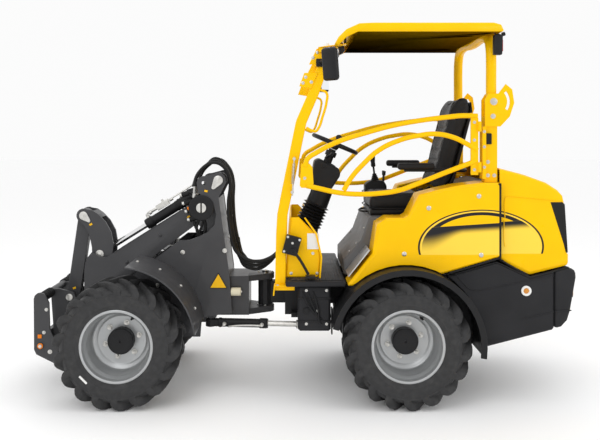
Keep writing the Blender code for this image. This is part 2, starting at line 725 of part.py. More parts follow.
def rear_mudguards():
    """A channel over each rear wheel, with an inner wall and a lip turned down outside."""
    r = REAR_GUARD_RADIUS
    channel = [(0.3085, 0.300), (0.3085, r + 0.010), (0.612, r + 0.010), (0.612, r - 0.025),
               (0.604, r - 0.025), (0.604, r), (0.3165, r), (0.3165, 0.300)]
    for name, side in SIDES:
        profile = [(side * y, radius) for y, radius in channel]
        band = turned(profile, (REAR_AXLE_X, AXLE_Z), 22, -8, 166)
        part(f"mudguard_rear_{name}", "black", [band])


def engine_hood(carrier):
    """The tail cover: top, rear face and both sides in one shell."""
    outline = [
        (1.1000, 1.413), (1.3225, 1.354), (1.453, 1.307), (1.522, 1.263), (1.553, 1.229), (1.561, 1.190),
        (1.578, 0.894), (1.587, 0.880), (1.587, 0.8155), (1.351, 0.7565), (1.189, 0.840), (1.100, 0.890),
    ]
    inside = [
        (1.000, 1.430), (1.3195, 1.344), (1.448, 1.298), (1.515, 1.255), (1.543, 1.224), (1.551, 1.190),
        (1.568, 0.894), (1.576, 0.878), (1.576, 0.700), (1.000, 0.600),
    ]
    shell = softened(prism(outline, -HOOD_Y, HOOD_Y), 0.022, 2, 40)
    cutters = [prism(inside, -HOOD_Y + 0.012, HOOD_Y - 0.012), box((0.9, 1.1755), (-1, 1), (0.5, 1.6))]
    part("engine_hood", "yellow", [shell], cutters, carrier)


# Operator station ------------------------------------------------------------------


def seat():
    cushion = softened(box((0.415, 0.800), (-0.235, 0.235), (1.0865, 1.225)), 0.030, 2)
    part("seat_cushion", "vinyl", [cushion])
    back = [(0.806, 1.235), (0.915, 1.235), (0.960, 1.330), (1.078, 1.760), (1.068, 1.850), (1.000, 1.855),
            (0.960, 1.780), (0.850, 1.350)]
    part("seat_backrest", "vinyl", [softened(prism(back, -0.220, 0.220), 0.028, 2, 60)])


def armrests():
    """A pad on each side, on a bar that passes behind the backrest."""
    bar = [(0.780, -0.262, 1.375), (0.960, -0.262, 1.372), (1.020, -0.235, 1.370), (1.030, -0.150, 1.370),
           (1.030, 0.150, 1.370), (1.020, 0.235, 1.370), (0.960, 0.262, 1.372), (0.780, 0.262, 1.375)]
    pieces = [swept(curved(bar, 2), 0.013)]
    for _, side in SIDES:
        pieces.append(softened(box((0.600, 0.830), span(side, 0.238, 0.286), (1.360, 1.416)), 0.012, 1))
    part("armrests", "black", pieces)


def joystick_console():
    """The lever console to the right of the seat."""
    pieces = [softened(box((0.455, 0.615), (0.315, 0.420), (1.1015, 1.270)), 0.012, 1),
              round_bar((0.535, 0.368, 1.26), (0.520, 0.368, 1.400), 0.010, 8),
              round_bar((0.523, 0.368, 1.370), (0.514, 0.368, 1.450), 0.020, 10)]
    part("joystick_console", "black", pieces)


def post_outline():
    """A front post: a flat bar that bows forwards on its way up to the roof."""
    front = [(-0.157, 0.675), (-0.150, 1.000), (-0.143, 1.120), (-0.093, 1.370), (-0.029, 1.680),
             (0.046, 1.851), (0.100, 2.011), (0.128, 2.100)]
    back = [(0.188, 2.085), (0.160, 1.995), (0.106, 1.835), (0.031, 1.660), (-0.033, 1.352),
            (-0.083, 1.105), (-0.088, 0.990), (-0.094, 0.675)]
    return front + back


def front_posts():
    for name, side in SIDES:
        bar = softened(prism(post_outline(), *span(side, 0.4055, 0.430)), 0.005, 1)
        foot = box((-0.160, -0.040), span(side, 0.404, 0.452), (0.668, 0.6965))
        head = box((0.105, 0.200), span(side, 0.404, 0.470), (2.080, 2.104))
        part(f"front_post_{name}", "yellow", [bar, foot, head])


def lower_rops_posts():
    """The fixed half of each rear post, with the fold plates at its top."""
    post_x, post_z = (1.088, 1.164), (1.3105, 1.700)
    pin = CANOPY_PIVOT
    lobe = [(1.088, 1.640), (1.180, 1.640), (1.236, 1.700), (1.262, 1.780), (1.250, 1.860), (1.212, 1.892),
            (1.180, 1.850), (1.170, 1.836), (1.110, 1.836), (1.088, 1.800)]
    inner = [(1.088, 1.640), (1.164, 1.640), (1.185, 1.760), (1.180, 1.820), (1.110, 1.836), (1.088, 1.800)]
    for name, side in SIDES:
        pieces = [
            box(post_x, span(side, 0.383, 0.447), post_z),
            prism(lobe, *span(side, 0.446, 0.457)),
            prism(inner, *span(side, 0.373, 0.384)),
            pin_along_y(pin, *span(side, 0.366, 0.466), 0.011, 12),
            box((1.070, 1.092), span(side, 0.405, 0.470), (1.330, 1.640)),
        ]
        slot = [*arc(pin, 0.098, -32, 40, 6), *reversed(arc(pin, 0.080, -32, 40, 6))]
        cutter = prism(slot, *span(side, 0.42, 0.5))
        part(f"rops_post_{name}", "yellow", pieces, [cutter])


def rops_hoop(carrier):
    """The tube that folds, from the left pivot over the operator to the right pivot."""
    x, y, top = CANOPY_PIVOT[0] - 0.004, ROPS_Y, 2.184
    route = [(x, -y, 1.770), (x, -y, 2.060), (x, -y + 0.012, 2.115), (x, -y + 0.045, 2.160),
             (x, -y + 0.100, top), (x, y - 0.100, top), (x, y - 0.045, 2.160), (x, y - 0.012, 2.115),
             (x, y, 2.060), (x, y, 1.770)]
    pieces = [swept(route, 0.0305, 10)]
    for _, side in SIDES:
        pieces.append(pin_along_y(CANOPY_PIVOT, *span(side, 0.3855, 0.4445), 0.040))
    holes = [pin_along_y(CANOPY_PIVOT, -0.6, 0.6, bore(0.011, 12), 12)]
    part("rops_hoop", "yellow", pieces, holes, carrier)


def canopy_roof(carrier):
    """A pressed sheet with its edges turned down."""
    outer = [(0.193, 2.120), (0.215, 2.160), (0.262, 2.206), (0.337, 2.240), (0.420, 2.244), (1.120, 2.244),
             (1.162, 2.232), (1.176, 2.200), (1.176, 2.192), (0.330, 2.192), (0.262, 2.160), (0.215, 2.110)]
    inner = [(0.226, 2.100), (0.226, 2.152), (0.266, 2.192), (0.340, 2.228), (0.420, 2.232), (1.118, 2.232),
             (1.154, 2.222), (1.166, 2.198), (1.166, 2.100)]
    sheet = softened(prism(outer, -ROOF_Y, ROOF_Y), 0.008, 1, 55)
    part("canopy_roof", "yellow", [sheet], [prism(inner, -ROOF_Y + 0.012, ROOF_Y - 0.012)], carrier)


def side_guard(name, side, carrier):
    """A gate of bent tubes beside the operator, between a front and a rear plate."""
    y = side * 0.470
    low, high = span(side, 0.462, 0.478)
    top = [(1.040, y, 1.702), (0.950, y, 1.704), (0.900, y, 1.700), (0.583, y, 1.655), (0.385, y, 1.604),
           (0.204, y, 1.545), (0.090, y, 1.486), (0.036, y, 1.448), (0.022, y, 1.404)]
    bottom = [(0.030, y, 1.290), (0.110, y, 1.273), (0.204, y, 1.252), (0.317, y, 1.241), (0.476, y, 1.247),
              (0.583, y, 1.265), (0.665, y, 1.294), (0.838, y, 1.363), (1.040, y, 1.440)]
    middle = [(0.250, y, 1.262), (0.295, y, 1.338), (0.363, y, 1.415), (0.453, y, 1.497), (0.583, y, 1.560),
              (0.689, y, 1.586), (0.795, y, 1.596), (0.900, y, 1.575), (0.973, y, 1.540), (1.040, y, 1.500)]
    pieces = [swept(curved(route, 2), 0.0125, 6) for route in (top, bottom, middle)]
    front = [(-0.010, 1.292), (0.000, 1.278), (0.060, 1.278), (0.072, 1.300), (0.066, 1.400), (0.050, 1.420),
             (0.000, 1.420)]
    pieces.append(prism(front, low, high))
    pieces.append(prism([(1.000, 1.354), (1.044, 1.354), (1.044, 1.690), (1.000, 1.722)], low, high))
    for z in (1.400, 1.640):
        pieces.append(upright_pin((GUARD_HINGE_X, side * GUARD_HINGE_Y), z - 0.03, z + 0.03, 0.011, 10))
        pieces.append(box((1.036, 1.054), span(side, 0.466, 0.484), (z - 0.028, z + 0.028)))
    part(f"side_guard_{name}", "yellow", pieces, pivot=carrier)


def mirrors():
    """A rounded mirror head on a bent arm from each front post."""
    for name, side in SIDES:
        arm = [(0.110, side * 0.4395, 2.020), (0.118, side * 0.470, 2.026), (0.150, side * 0.520, 2.020),
               (0.165, side * 0.540, 2.000)]
        clamp = box((0.086, 0.136), span(side, 0.4306, 0.446), (1.995, 2.045))
        head = softened(box((0.120, 0.205), span(side, 0.495, 0.620), (1.905, 2.095)), 0.020, 2)
        part(f"mirror_{name}", "black", [head, swept(curved(arm, 2), 0.009), clamp])


# The whole machine -----------------------------------------------------------------


def rear_body():
    rear_chassis()
    axle("rear_axle", REAR_AXLE_X, None)
    engine_block()
    floor_plate()
    side_tanks()
    front_cowl()
    control_box()
    steering_column()
    seat_box()
    side_panels()
    lower_panels()
    rear_counterweight()
    rear_mudguards()
    seat()
    armrests()
    joystick_console()
    front_posts()
    lower_rops_posts()
    mirrors()
    wheels("rear", REAR_AXLE_X, None)


def hinged_covers():
    engine_hood(pivot("hood_hinge", at_pin(HOOD_HINGE)))
    canopy = pivot("canopy_hinge", at_pin(CANOPY_PIVOT))
    rops_hoop(canopy)
    canopy_roof(canopy)
    for name, side in SIDES:
        hinge = pivot(f"guard_hinge_{name}", (GUARD_HINGE_X, side * GUARD_HINGE_Y, 1.5))
        side_guard(name, side, hinge)
    steering_wheel(pivot("steering_axis", WHEEL_HUB))


def front_body():
    waist = pivot("articulation", (*ARTICULATION, 0.565))
    front_frame(waist)
    axle("front_axle", FRONT_AXLE_X, waist)
    front_mudguards(waist)
    wheels("front", FRONT_AXLE_X, waist)
    arm(waist)
    steer_base = pivot("steer_barrel_pin", (*STEER_BASE, STEER_Z), waist)
    steer_slide = pivot("steer_rod_slide", (*STEER_ROD, STEER_Z), steer_base)
    cylinder_pair("steer", (*STEER_BASE, STEER_Z), (*STEER_ROD, STEER_Z), 0.360, 0.240,
                  0.85, (steer_base, steer_slide), upright=True)


def arm(waist):
    shoulder = pivot("boom_pivot", at_pin(BOOM_PIN), waist)
    boom(shoulder)
    joint_pin("lever_pin", LEVER_PIN, 0.106, shoulder)
    joint_pin("coupler_pin", COUPLER_PIN, 0.120, shoulder)
    lever = pivot("lever_axis", at_pin(LEVER_PIN), shoulder)
    tilt_lever(lever)
    joint_pin("link_pin", LINK_PIN, 0.072, lever)
    tilt_link(pivot("link_axis", at_pin(LINK_PIN), lever))
    coupler(pivot("coupler_axis", at_pin(COUPLER_PIN), shoulder))
    tilt_base = pivot("tilt_barrel_pin", at_pin(TILT_BASE_PIN), waist)
    inner_slide = pivot("tilt_piston_slide", at_pin(TILT_BASE_PIN), tilt_base)
    tilt_slide = pivot("tilt_rod_slide", at_pin(ROD_PIN), inner_slide)
    cylinder_pair("tilt", at_pin(TILT_BASE_PIN), at_pin(ROD_PIN), 0.570, 0.340,
                  1.0, (tilt_base, tilt_slide), sleeve=SLEEVE)
    tilt_piston(inner_slide)
    lift_base = pivot("lift_barrel_pin", at_pin(LIFT_BASE_PIN), waist)
    lift_slide = pivot("lift_rod_slide", at_pin(LIFT_ROD_PIN), lift_base)
    cylinder_pair("lift", at_pin(LIFT_BASE_PIN), at_pin(LIFT_ROD_PIN), 0.480, 0.078,
                  1.0, (lift_base, lift_slide))


def main():
    clear_scene()
    rear_body()
    hinged_covers()
    front_body()


main()
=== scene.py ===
"""Looks of a compact articulated wheel loader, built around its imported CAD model.

Metres, +Z up, -X towards the loader arm, -Y towards the machine's left side.
"""

import json
import logging
import math
from collections.abc import Callable, Sequence
from dataclasses import dataclass
from enum import Enum

import bmesh
import bpy
from mathutils import Matrix, Vector


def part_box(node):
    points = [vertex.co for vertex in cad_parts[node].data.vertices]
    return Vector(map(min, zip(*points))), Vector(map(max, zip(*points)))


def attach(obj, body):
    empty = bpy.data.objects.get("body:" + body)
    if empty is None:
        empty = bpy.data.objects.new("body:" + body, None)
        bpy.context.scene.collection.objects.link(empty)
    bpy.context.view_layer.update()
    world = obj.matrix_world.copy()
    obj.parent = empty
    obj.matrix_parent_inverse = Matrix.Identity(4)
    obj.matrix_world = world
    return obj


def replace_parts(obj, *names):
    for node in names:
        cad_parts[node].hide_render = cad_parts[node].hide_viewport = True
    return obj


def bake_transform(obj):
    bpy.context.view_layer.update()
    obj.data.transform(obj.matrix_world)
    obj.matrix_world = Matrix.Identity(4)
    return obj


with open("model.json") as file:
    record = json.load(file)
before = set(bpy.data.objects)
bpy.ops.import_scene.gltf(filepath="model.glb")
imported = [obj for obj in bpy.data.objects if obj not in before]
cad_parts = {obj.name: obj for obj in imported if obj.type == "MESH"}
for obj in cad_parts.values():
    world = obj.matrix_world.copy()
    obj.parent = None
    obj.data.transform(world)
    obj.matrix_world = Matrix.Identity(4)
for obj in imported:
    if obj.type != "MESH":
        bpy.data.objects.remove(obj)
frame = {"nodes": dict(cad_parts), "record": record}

LOG = logging.getLogger("loader")
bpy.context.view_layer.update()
Place = Sequence[float]
Colour = tuple[float, float, float]
UP = Vector((0, 0, 1))
ACROSS = Vector((0, 1, 0))
BODY_OF = {node: body for body, nodes in frame["record"]["behaviour"]["bodies"].items() for node in nodes}


class Side(Enum):
    """The two sides of the machine, with the sign of Y on each."""

    LEFT = ("left", -1)
    RIGHT = ("right", 1)

    @property
    def word(self) -> str:
        """The side's name as the nodes use it."""
        return self.value[0]

    def y(self, distance: float) -> float:
        """The Y of a point at this distance from the middle plane."""
        return self.value[1] * distance

    def span(self, inner: float, outer: float) -> tuple[float, float]:
        """Two distances from the middle plane as a rising pair of Y values."""
        low, high = sorted((self.y(inner), self.y(outer)))
        return low, high


# Shader tools -----------------------------------------------------------------------


class Signal:
    """A shader socket that Python arithmetic can work with."""

    def __init__(self, recipe: "Recipe", socket: bpy.types.NodeSocket) -> None:
        """Keeps the socket and the recipe it belongs to."""
        self.recipe = recipe
        self.socket = socket

    def _maths(self, operation: str, first: "Signal | float", second: "Signal | float") -> "Signal":
        """One Math node on two values."""
        return self.recipe.node("ShaderNodeMath", {"operation": operation}, {0: first, 1: second})

    def __add__(self, other: "Signal | float") -> "Signal":
        """self + other."""
        return self._maths("ADD", self, other)

    def __radd__(self, other: float) -> "Signal":
        """other + self."""
        return self._maths("ADD", other, self)

    def __sub__(self, other: "Signal | float") -> "Signal":
        """self - other."""
        return self._maths("SUBTRACT", self, other)

    def __rsub__(self, other: float) -> "Signal":
        """other - self."""
        return self._maths("SUBTRACT", other, self)

    def __mul__(self, other: "Signal | float") -> "Signal":
        """self * other."""
        return self._maths("MULTIPLY", self, other)

    def __rmul__(self, other: float) -> "Signal":
        """other * self."""
        return self._maths("MULTIPLY", other, self)

    def __truediv__(self, other: "Signal | float") -> "Signal":
        """self / other."""
        return self._maths("DIVIDE", self, other)

    def __pow__(self, other: "Signal | float") -> "Signal":
        """self ** other."""
        return self._maths("POWER", self, other)

    def size(self) -> "Signal":
        """The absolute value."""
        return self._maths("ABSOLUTE", self, 0.0)

    def rise(self, low: float, high: float) -> "Signal":
        """A smooth step from 0 at low to 1 at high."""
        return self.recipe.node(
            "ShaderNodeMapRange", {"interpolation_type": "SMOOTHSTEP"},
            {0: self, 1: low, 2: high, 3: 0.0, 4: 1.0})


class Recipe:
    """A material whose nodes are added one call at a time."""

    def __init__(self, name: str) -> None:
        """Starts an empty Principled material.

        Args:
            name: the material's name.
        """
        self.material = bpy.data.materials.new(name)
        self.material.use_nodes = True
        self.tree = self.material.node_tree
        self.tree.nodes.clear()
        output = self.tree.nodes.new("ShaderNodeOutputMaterial")
        self.shader = self.tree.nodes.new("ShaderNodeBsdfPrincipled")
        self.tree.links.new(self.shader.outputs[0], output.inputs["Surface"])
        self.place = self.node("ShaderNodeTexCoord", {}, {}, "Object")

    def node(self, kind: str, settings: dict, values: dict, out: int | str = 0) -> Signal:
        """Adds any node.

        Args:
            kind: the node's type.
            settings: properties set before its sockets.
            values: what goes into each socket, by name or number.
            out: the output wanted.

        Returns:
            The chosen output.
        """
        made = self.tree.nodes.new(kind)
        for key, value in settings.items():
            setattr(made, key, value)
        for key, value in values.items():
            self.feed(made.inputs[key], value)
        return Signal(self, made.outputs[out])

    def feed(self, socket: bpy.types.NodeSocket, value: "Signal | float | Sequence[float]") -> None:
        """Links a signal into a socket, or sets the socket's own value."""
        if isinstance(value, Signal):
            self.tree.links.new(value.socket, socket)
        elif isinstance(value, (int, float)):
            socket.default_value = value
        else:
            socket.default_value = (*value, 1.0) if len(socket.default_value) == 4 else value

    def noise(self, size: float, detail: float = 3.0, stretch: Colour = (1, 1, 1)) -> Signal:
        """Soft noise whose blotches are about this size in metres."""
        vector = self.node("ShaderNodeMapping", {}, {"Vector": self.place, "Scale": stretch})
        return self.node("ShaderNodeTexNoise", {}, {"Vector": vector, "Scale": 1 / size, "Detail": detail})

    def blend(self, share: "Signal | float", first: "Signal | Colour", second: "Signal | Colour") -> Signal:
        """A colour between two, first where share is 0 and second where it is 1."""
        return self.node("ShaderNodeMix", {"data_type": "RGBA", "clamp_factor": True},
                         {0: share, 6: first, 7: second}, 2)

    def along(self, axis: str) -> Signal:
        """One Object coordinate in metres."""
        return self.node("ShaderNodeSeparateXYZ", {}, {0: self.place}, axis)


# Finishes ---------------------------------------------------------------------------


@dataclass(frozen=True)
class Finish:
    """A coat of one colour, with soft blotches and a fine grain."""

    name: str
    slot: str
    colour: Colour
    rough: float
    metal: float = 0.0
    coat: float = 0.0
    mottle: float = 0.10
    mottle_size: float = 0.16
    grain: float = 0.15
    grain_size: float = 0.003
    alpha: float = 1.0
    glow: float = 0.0
    shine: float = 0.20

    def pigment(self, recipe: Recipe) -> Signal:
        """The colour over the surface."""
        spots = recipe.noise(self.mottle_size, 5).rise(0.25, 0.75)
        dark = tuple(c * (1 - self.mottle) for c in self.colour)
        light = tuple(min(1.0, c * (1 + self.mottle * 0.6)) for c in self.colour)
        return recipe.blend(spots, dark, light)

    def relief(self, recipe: Recipe) -> Signal:
        """The height that the grain follows."""
        return recipe.noise(self.grain_size, 3)

    def polish(self, recipe: Recipe) -> Signal:
        """The roughness over the surface."""
        return recipe.noise(self.mottle_size * 0.4, 4) * (self.rough * 0.5) + self.rough * 0.75

    def material(self) -> bpy.types.Material:
        """The finished material, made once."""
        found = bpy.data.materials.get(self.name)
        if found:
            return found
        recipe = Recipe(self.name)
        sockets = recipe.shader.inputs
        recipe.feed(sockets["Base Color"], self.pigment(recipe))
        recipe.feed(sockets["Roughness"], self.polish(recipe))
        sockets["Metallic"].default_value = self.metal
        sockets["Specular IOR Level"].default_value = 0.5 if self.metal else self.shine
        sockets["Coat Weight"].default_value = self.coat
        sockets["Coat Roughness"].default_value = 0.08
        sockets["Alpha"].default_value = self.alpha
        if self.glow:
            sockets["Emission Color"].default_value = (*self.colour, 1.0)
            sockets["Emission Strength"].default_value = self.glow
        bump = recipe.node("ShaderNodeBump", {}, {"Strength": self.grain, "Distance": 0.0015,
                                                  "Height": self.relief(recipe)})
        recipe.feed(sockets["Normal"], bump)
        return recipe.material


@dataclass(frozen=True)
class StripedPaint(Finish):
    """Body paint with the arched stripes and the fade that cross the side panel and the hood."""

    centre_x: float = 1.060
    centre_z: float = 0.930
    half_length: float = 0.378
    height: float = 0.223
    ink: Colour = (0.022, 0.022, 0.025)
    pale: Colour = (0.98, 0.66, 0.07)

    def pigment(self, recipe: Recipe) -> Signal:
        """Paint, then the pale field, the fade, the dark band and the arched lines."""
        paint = super().pigment(recipe)
        x, z = recipe.along("X"), recipe.along("Z")
        reach = (((x - self.centre_x) / self.half_length) ** 2.0
                 + ((z - self.centre_z).size() / self.height) ** 2.0) ** 0.5
        outside = recipe.along("Y").size().rise(0.440, 0.450)
        above = z.rise(0.884, 0.890) * outside
        inside = (1.0 - reach.rise(0.934, 0.942)) * above
        seat_line = (x - 0.838) * 0.065 + 1.053
        below = (seat_line - z).rise(-0.001, 0.001)
        fade_length = 0.150 - x.rise(0.74, 0.96) * 0.095
        drop = (seat_line - z) / fade_length
        fade = (1.0 - drop.rise(0.25, 1.0)) * below
        field = recipe.blend(inside * below, paint, self.pale)
        faded = recipe.blend(inside * fade, field, self.ink)
        thick = reach.rise(0.846, 0.852) * (1.0 - reach.rise(0.926, 0.934)) * (1.0 - below) * above
        line = reach.rise(0.964, 0.970) * (1.0 - reach.rise(0.994, 1.000)) * above
        glint = reach.rise(0.934, 0.940) * (1.0 - reach.rise(0.960, 0.966)) * above
        lined = recipe.blend(line + thick, faded, self.ink)
        return recipe.blend(glint, lined, self.pale)


@dataclass(frozen=True)
class Rubber(Finish):
    """Tyre rubber, greyer where it is scuffed and dusty."""

    scuff: Colour = (0.075, 0.073, 0.070)

    def pigment(self, recipe: Recipe) -> Signal:
        """Black rubber with a thin grey bloom."""
        bloom = recipe.noise(0.05, 6).rise(0.50, 0.85) * 0.45
        return recipe.blend(bloom, super().pigment(recipe), self.scuff)


@dataclass(frozen=True)
class Vinyl(Finish):
    """Seat cover with a leather grain."""

    def relief(self, recipe: Recipe) -> Signal:
        """Small cells, as pressed into seat vinyl."""
        cells = recipe.node("ShaderNodeTexVoronoi", {"feature": "DISTANCE_TO_EDGE"},
                            {"Vector": recipe.place, "Scale": 1 / 0.0035}, "Distance")
        return cells.rise(0.0, 0.25) + recipe.noise(0.012, 3) * 0.6


@dataclass(frozen=True)
class TreadPlate(Finish):
    """Floor covering with raised ribs across the machine."""

    pitch: float = 0.018

    def relief(self, recipe: Recipe) -> Signal:
        """Ribs every pitch along X."""
        wave = recipe.node("ShaderNodeMath", {"operation": "SINE"},
                           {0: recipe.along("X") * (math.tau / self.pitch)})
        return wave.rise(-0.2, 0.5) + recipe.noise(0.004, 2) * 0.2


class Look:
    """Every finish on the machine."""

    YELLOW = StripedPaint("yellow paint with stripes", "yellow", (0.955, 0.545, 0.002), 0.30, coat=0.06,
                          shine=0.08, mottle=0.035, grain=0.05, grain_size=0.006)
    PLAIN_YELLOW = Finish("yellow paint", "yellow", (0.955, 0.545, 0.002), 0.30, coat=0.06, shine=0.08,
                          mottle=0.035, grain=0.05, grain_size=0.006)
    IRON = Finish("dark grey frame paint", "frame_grey", (0.056, 0.056, 0.059), 0.42, coat=0.15,
                  mottle=0.10, grain=0.12, grain_size=0.004)
    SHELL = Finish("dark moulded cover", "body_grey", (0.026, 0.026, 0.028), 0.46, shine=0.10, mottle=0.10,
                   grain=0.30, grain_size=0.0016)
    PLASTIC = Finish("black plastic", "black_plastic", (0.014, 0.014, 0.015), 0.42, mottle=0.14, grain=0.30,
                     grain_size=0.0014)
    HOSE = Finish("hose rubber", "black_plastic", (0.012, 0.012, 0.012), 0.50, mottle=0.2, grain=0.35,
                  grain_size=0.0022)
    TYRE = Rubber("tyre rubber", "tyre", (0.038, 0.038, 0.039), 0.56, mottle=0.18, mottle_size=0.03,
                  grain=0.30, grain_size=0.0028)
    RIM = Finish("silver rim paint", "rim", (0.43, 0.44, 0.445), 0.36, metal=0.60, mottle=0.05, grain=0.10,
                 grain_size=0.0012)
    CHROME = Finish("chromed rod", "steel", (0.80, 0.80, 0.80), 0.12, metal=1.0, mottle=0.03, grain=0.02)
    ZINC = Finish("zinc plate", "pin_steel", (0.62, 0.61, 0.58), 0.34, metal=0.9, mottle=0.12,
                  mottle_size=0.02, grain=0.10, grain_size=0.0015)
    WHITE = Finish("white plate", "rim", (0.82, 0.82, 0.80), 0.40, mottle=0.04, grain=0.05)
    CREAM = Finish("cream nylon", "rim", (0.80, 0.74, 0.55), 0.45, mottle=0.06, grain=0.10)
    ORANGE = Finish("orange cap", "yellow", (0.85, 0.22, 0.01), 0.40, mottle=0.05, grain=0.05)
    MARK = Finish("yellow sticker", "yellow", (0.90, 0.50, 0.01), 0.45, mottle=0.06, grain=0.04)
    VINYL = Vinyl("black seat vinyl", "seat", (0.014, 0.014, 0.015), 0.40, mottle=0.15, mottle_size=0.08,
                  grain=0.40)
    MAT = TreadPlate("ribbed floor mat", "body_grey", (0.034, 0.034, 0.036), 0.50, mottle=0.12, grain=0.9)
    STEP_GREY = Finish("grey riser panel", "body_grey", (0.125, 0.125, 0.128), 0.45, mottle=0.08, grain=0.2,
                       grain_size=0.0016)
    KICK = Finish("brushed kick strip", "pin_steel", (0.55, 0.55, 0.55), 0.38, metal=0.8, mottle=0.06,
                  grain=0.2, grain_size=0.001)
    GLASS = Finish("mirror glass", "rim", (0.88, 0.90, 0.92), 0.04, metal=1.0, mottle=0.01, grain=0.0)
    LENS = Finish("clear lamp lens", "rim", (0.80, 0.82, 0.84), 0.10, coat=0.8, mottle=0.05, grain=0.05)
    RED = Finish("red lamp lens", "yellow", (0.45, 0.012, 0.010), 0.20, coat=0.8, mottle=0.05, grain=0.05)
    AMBER = Finish("amber reflector", "yellow", (0.62, 0.24, 0.02), 0.22, coat=0.8, mottle=0.15,
                   mottle_size=0.008, grain=0.5, grain_size=0.004)


# Modelling tools --------------------------------------------------------------------


class Workpiece:
    """One bmesh that collects the solids of a piece, each made by bmesh operators."""

    def __init__(self) -> None:
        """Starts with nothing in it."""
        self.bm = bmesh.new()

    def _round_off(self, edges: Sequence[bmesh.types.BMEdge], width: float, segments: int) -> None:
        """Bevels the edges given."""
        if width > 0:
            bmesh.ops.bevel(self.bm, geom=list(edges), offset=width, offset_type="OFFSET",
                            segments=segments, profile=0.5, affect="EDGES", clamp_overlap=True, material=-1)

    @staticmethod
    def _edges_of(verts: Sequence[bmesh.types.BMVert]) -> list[bmesh.types.BMEdge]:
        """The edges that touch these points, each once."""
        return list({edge for vert in verts for edge in vert.link_edges})

    def block(self, low: Place, high: Place, edge: float = 0.002, segments: int = 2,
              turn: Matrix | None = None) -> "Workpiece":
        """A box with rounded edges.

        Args:
            low: its lowest corner.
            high: its highest corner.
            edge: the rounding.
            segments: facets in the rounding.
            turn: a rotation about the box's own middle.

        Returns:
            The workpiece.
        """
        low, high = Vector(low), Vector(high)
        made = bmesh.ops.create_cube(self.bm, size=1.0)["verts"]
        sized = Matrix.Diagonal((*(high - low), 1.0))
        whole = Matrix.Translation((low + high) / 2) @ (turn or Matrix.Identity(4)) @ sized
        bmesh.ops.transform(self.bm, matrix=whole, verts=made)
        self._round_off(self._edges_of(made), edge, segments)
        return self

    def bar(self, start: Place, end: Place, radius: float, end_radius: float | None = None, sides: int = 24,
            edge: float = 0.0, segments: int = 2) -> "Workpiece":
        """A round bar or cone between two points, its rims rounded by edge."""
        start, end = Vector(start), Vector(end)
        along = end - start
        made = bmesh.ops.create_cone(
            self.bm, cap_ends=True, segments=sides, radius1=radius,
            radius2=radius if end_radius is None else end_radius, depth=along.length)["verts"]
        turn = UP.rotation_difference(along).to_matrix().to_4x4()
        bmesh.ops.transform(self.bm, matrix=Matrix.Translation((start + end) / 2) @ turn, verts=made)
        rims = [e for e in self._edges_of(made) if any(len(f.verts) == sides for f in e.link_faces)]
        self._round_off(rims, edge, segments)
        return self

    def plate(self, outline: Sequence[tuple[float, float]], low: float, high: float, edge: float = 0.0015,
              segments: int = 2) -> "Workpiece":
        """A plate with an (x, z) outline and its thickness along Y, from low to high."""
        face = self.bm.faces.new([self.bm.verts.new((x, low, z)) for x, z in outline])
        grown = bmesh.ops.extrude_face_region(self.bm, geom=[face])["geom"]
        moved = [part for part in grown if isinstance(part, bmesh.types.BMVert)]
        bmesh.ops.translate(self.bm, vec=(0, high - low, 0), verts=moved)
        whole = [*face.verts, *moved]
        bmesh.ops.recalc_face_normals(self.bm, faces=list({f for v in whole for f in v.link_faces}))
        self._round_off(self._edges_of(whole), edge, segments)
        return self

    def turned(self, profile: Sequence[tuple[float, float]], base: Place, axis: Place, steps: int = 64,
               closed: bool = True) -> "Workpiece":
        """A turned shape.

        Args:
            profile: (distance along the axis, radius) pairs.
            base: the point where the distance is 0.
            axis: the direction of the axis.
            steps: facets round the turn.
            closed: whether the last point joins the first.

        Returns:
            The workpiece.
        """
        base, axis = Vector(base), Vector(axis).normalized()
        out = axis.orthogonal().normalized()
        verts = [self.bm.verts.new(base + axis * along + out * radius) for along, radius in profile]
        pairs = list(zip(verts, verts[1:])) + ([(verts[-1], verts[0])] if closed else [])
        edges = [self.bm.edges.new(pair) for pair in pairs if (pair[0].co - pair[1].co).length > 1e-9]
        known = set(self.bm.verts) - set(verts)
        bmesh.ops.spin(self.bm, geom=[*verts, *edges], cent=base, axis=axis, angle=math.tau, steps=steps,
                       use_merge=True)
        fresh = [v for v in self.bm.verts if v not in known]
        bmesh.ops.remove_doubles(self.bm, verts=fresh, dist=1e-6)
        faces = {f for v in self.bm.verts if v not in known for f in v.link_faces}
        bmesh.ops.recalc_face_normals(self.bm, faces=list(faces))
        return self

    def tube(self, route: Sequence[Place], radius: float, sides: int = 12,
             smooth: bool = True) -> "Workpiece":
        """A tube whose middle line passes through the route's points."""
        curve = bpy.data.curves.new("route", "CURVE")
        curve.dimensions = "3D"
        curve.bevel_depth = radius
        curve.bevel_resolution = max(0, sides // 2 - 2)
        curve.use_fill_caps = True
        curve.resolution_u = 6
        spline = curve.splines.new("BEZIER")
        spline.bezier_points.add(len(route) - 1)
        for point, place in zip(spline.bezier_points, route):
            point.co = place
            point.handle_left_type = point.handle_right_type = "AUTO" if smooth else "VECTOR"
        holder = bpy.data.objects.new("route", curve)
        mesh = bpy.data.meshes.new_from_object(holder)
        self.bm.from_mesh(mesh)
        bpy.data.objects.remove(holder)
        bpy.data.meshes.remove(mesh)
        return self

    def coil(self, start: Place, end: Place, radius: float, wire: float, turns: int) -> "Workpiece":
        """A wire spring between two points."""
        start, end = Vector(start), Vector(end)
        along = end - start
        first = along.orthogonal().normalized()
        second = along.normalized().cross(first)
        count = turns * 10
        route = [start + along * i / count + radius * (first * math.cos(math.tau * i / 10)
                                                       + second * math.sin(math.tau * i / 10))
                 for i in range(count + 1)]
        return self.tube(route, wire, 6)

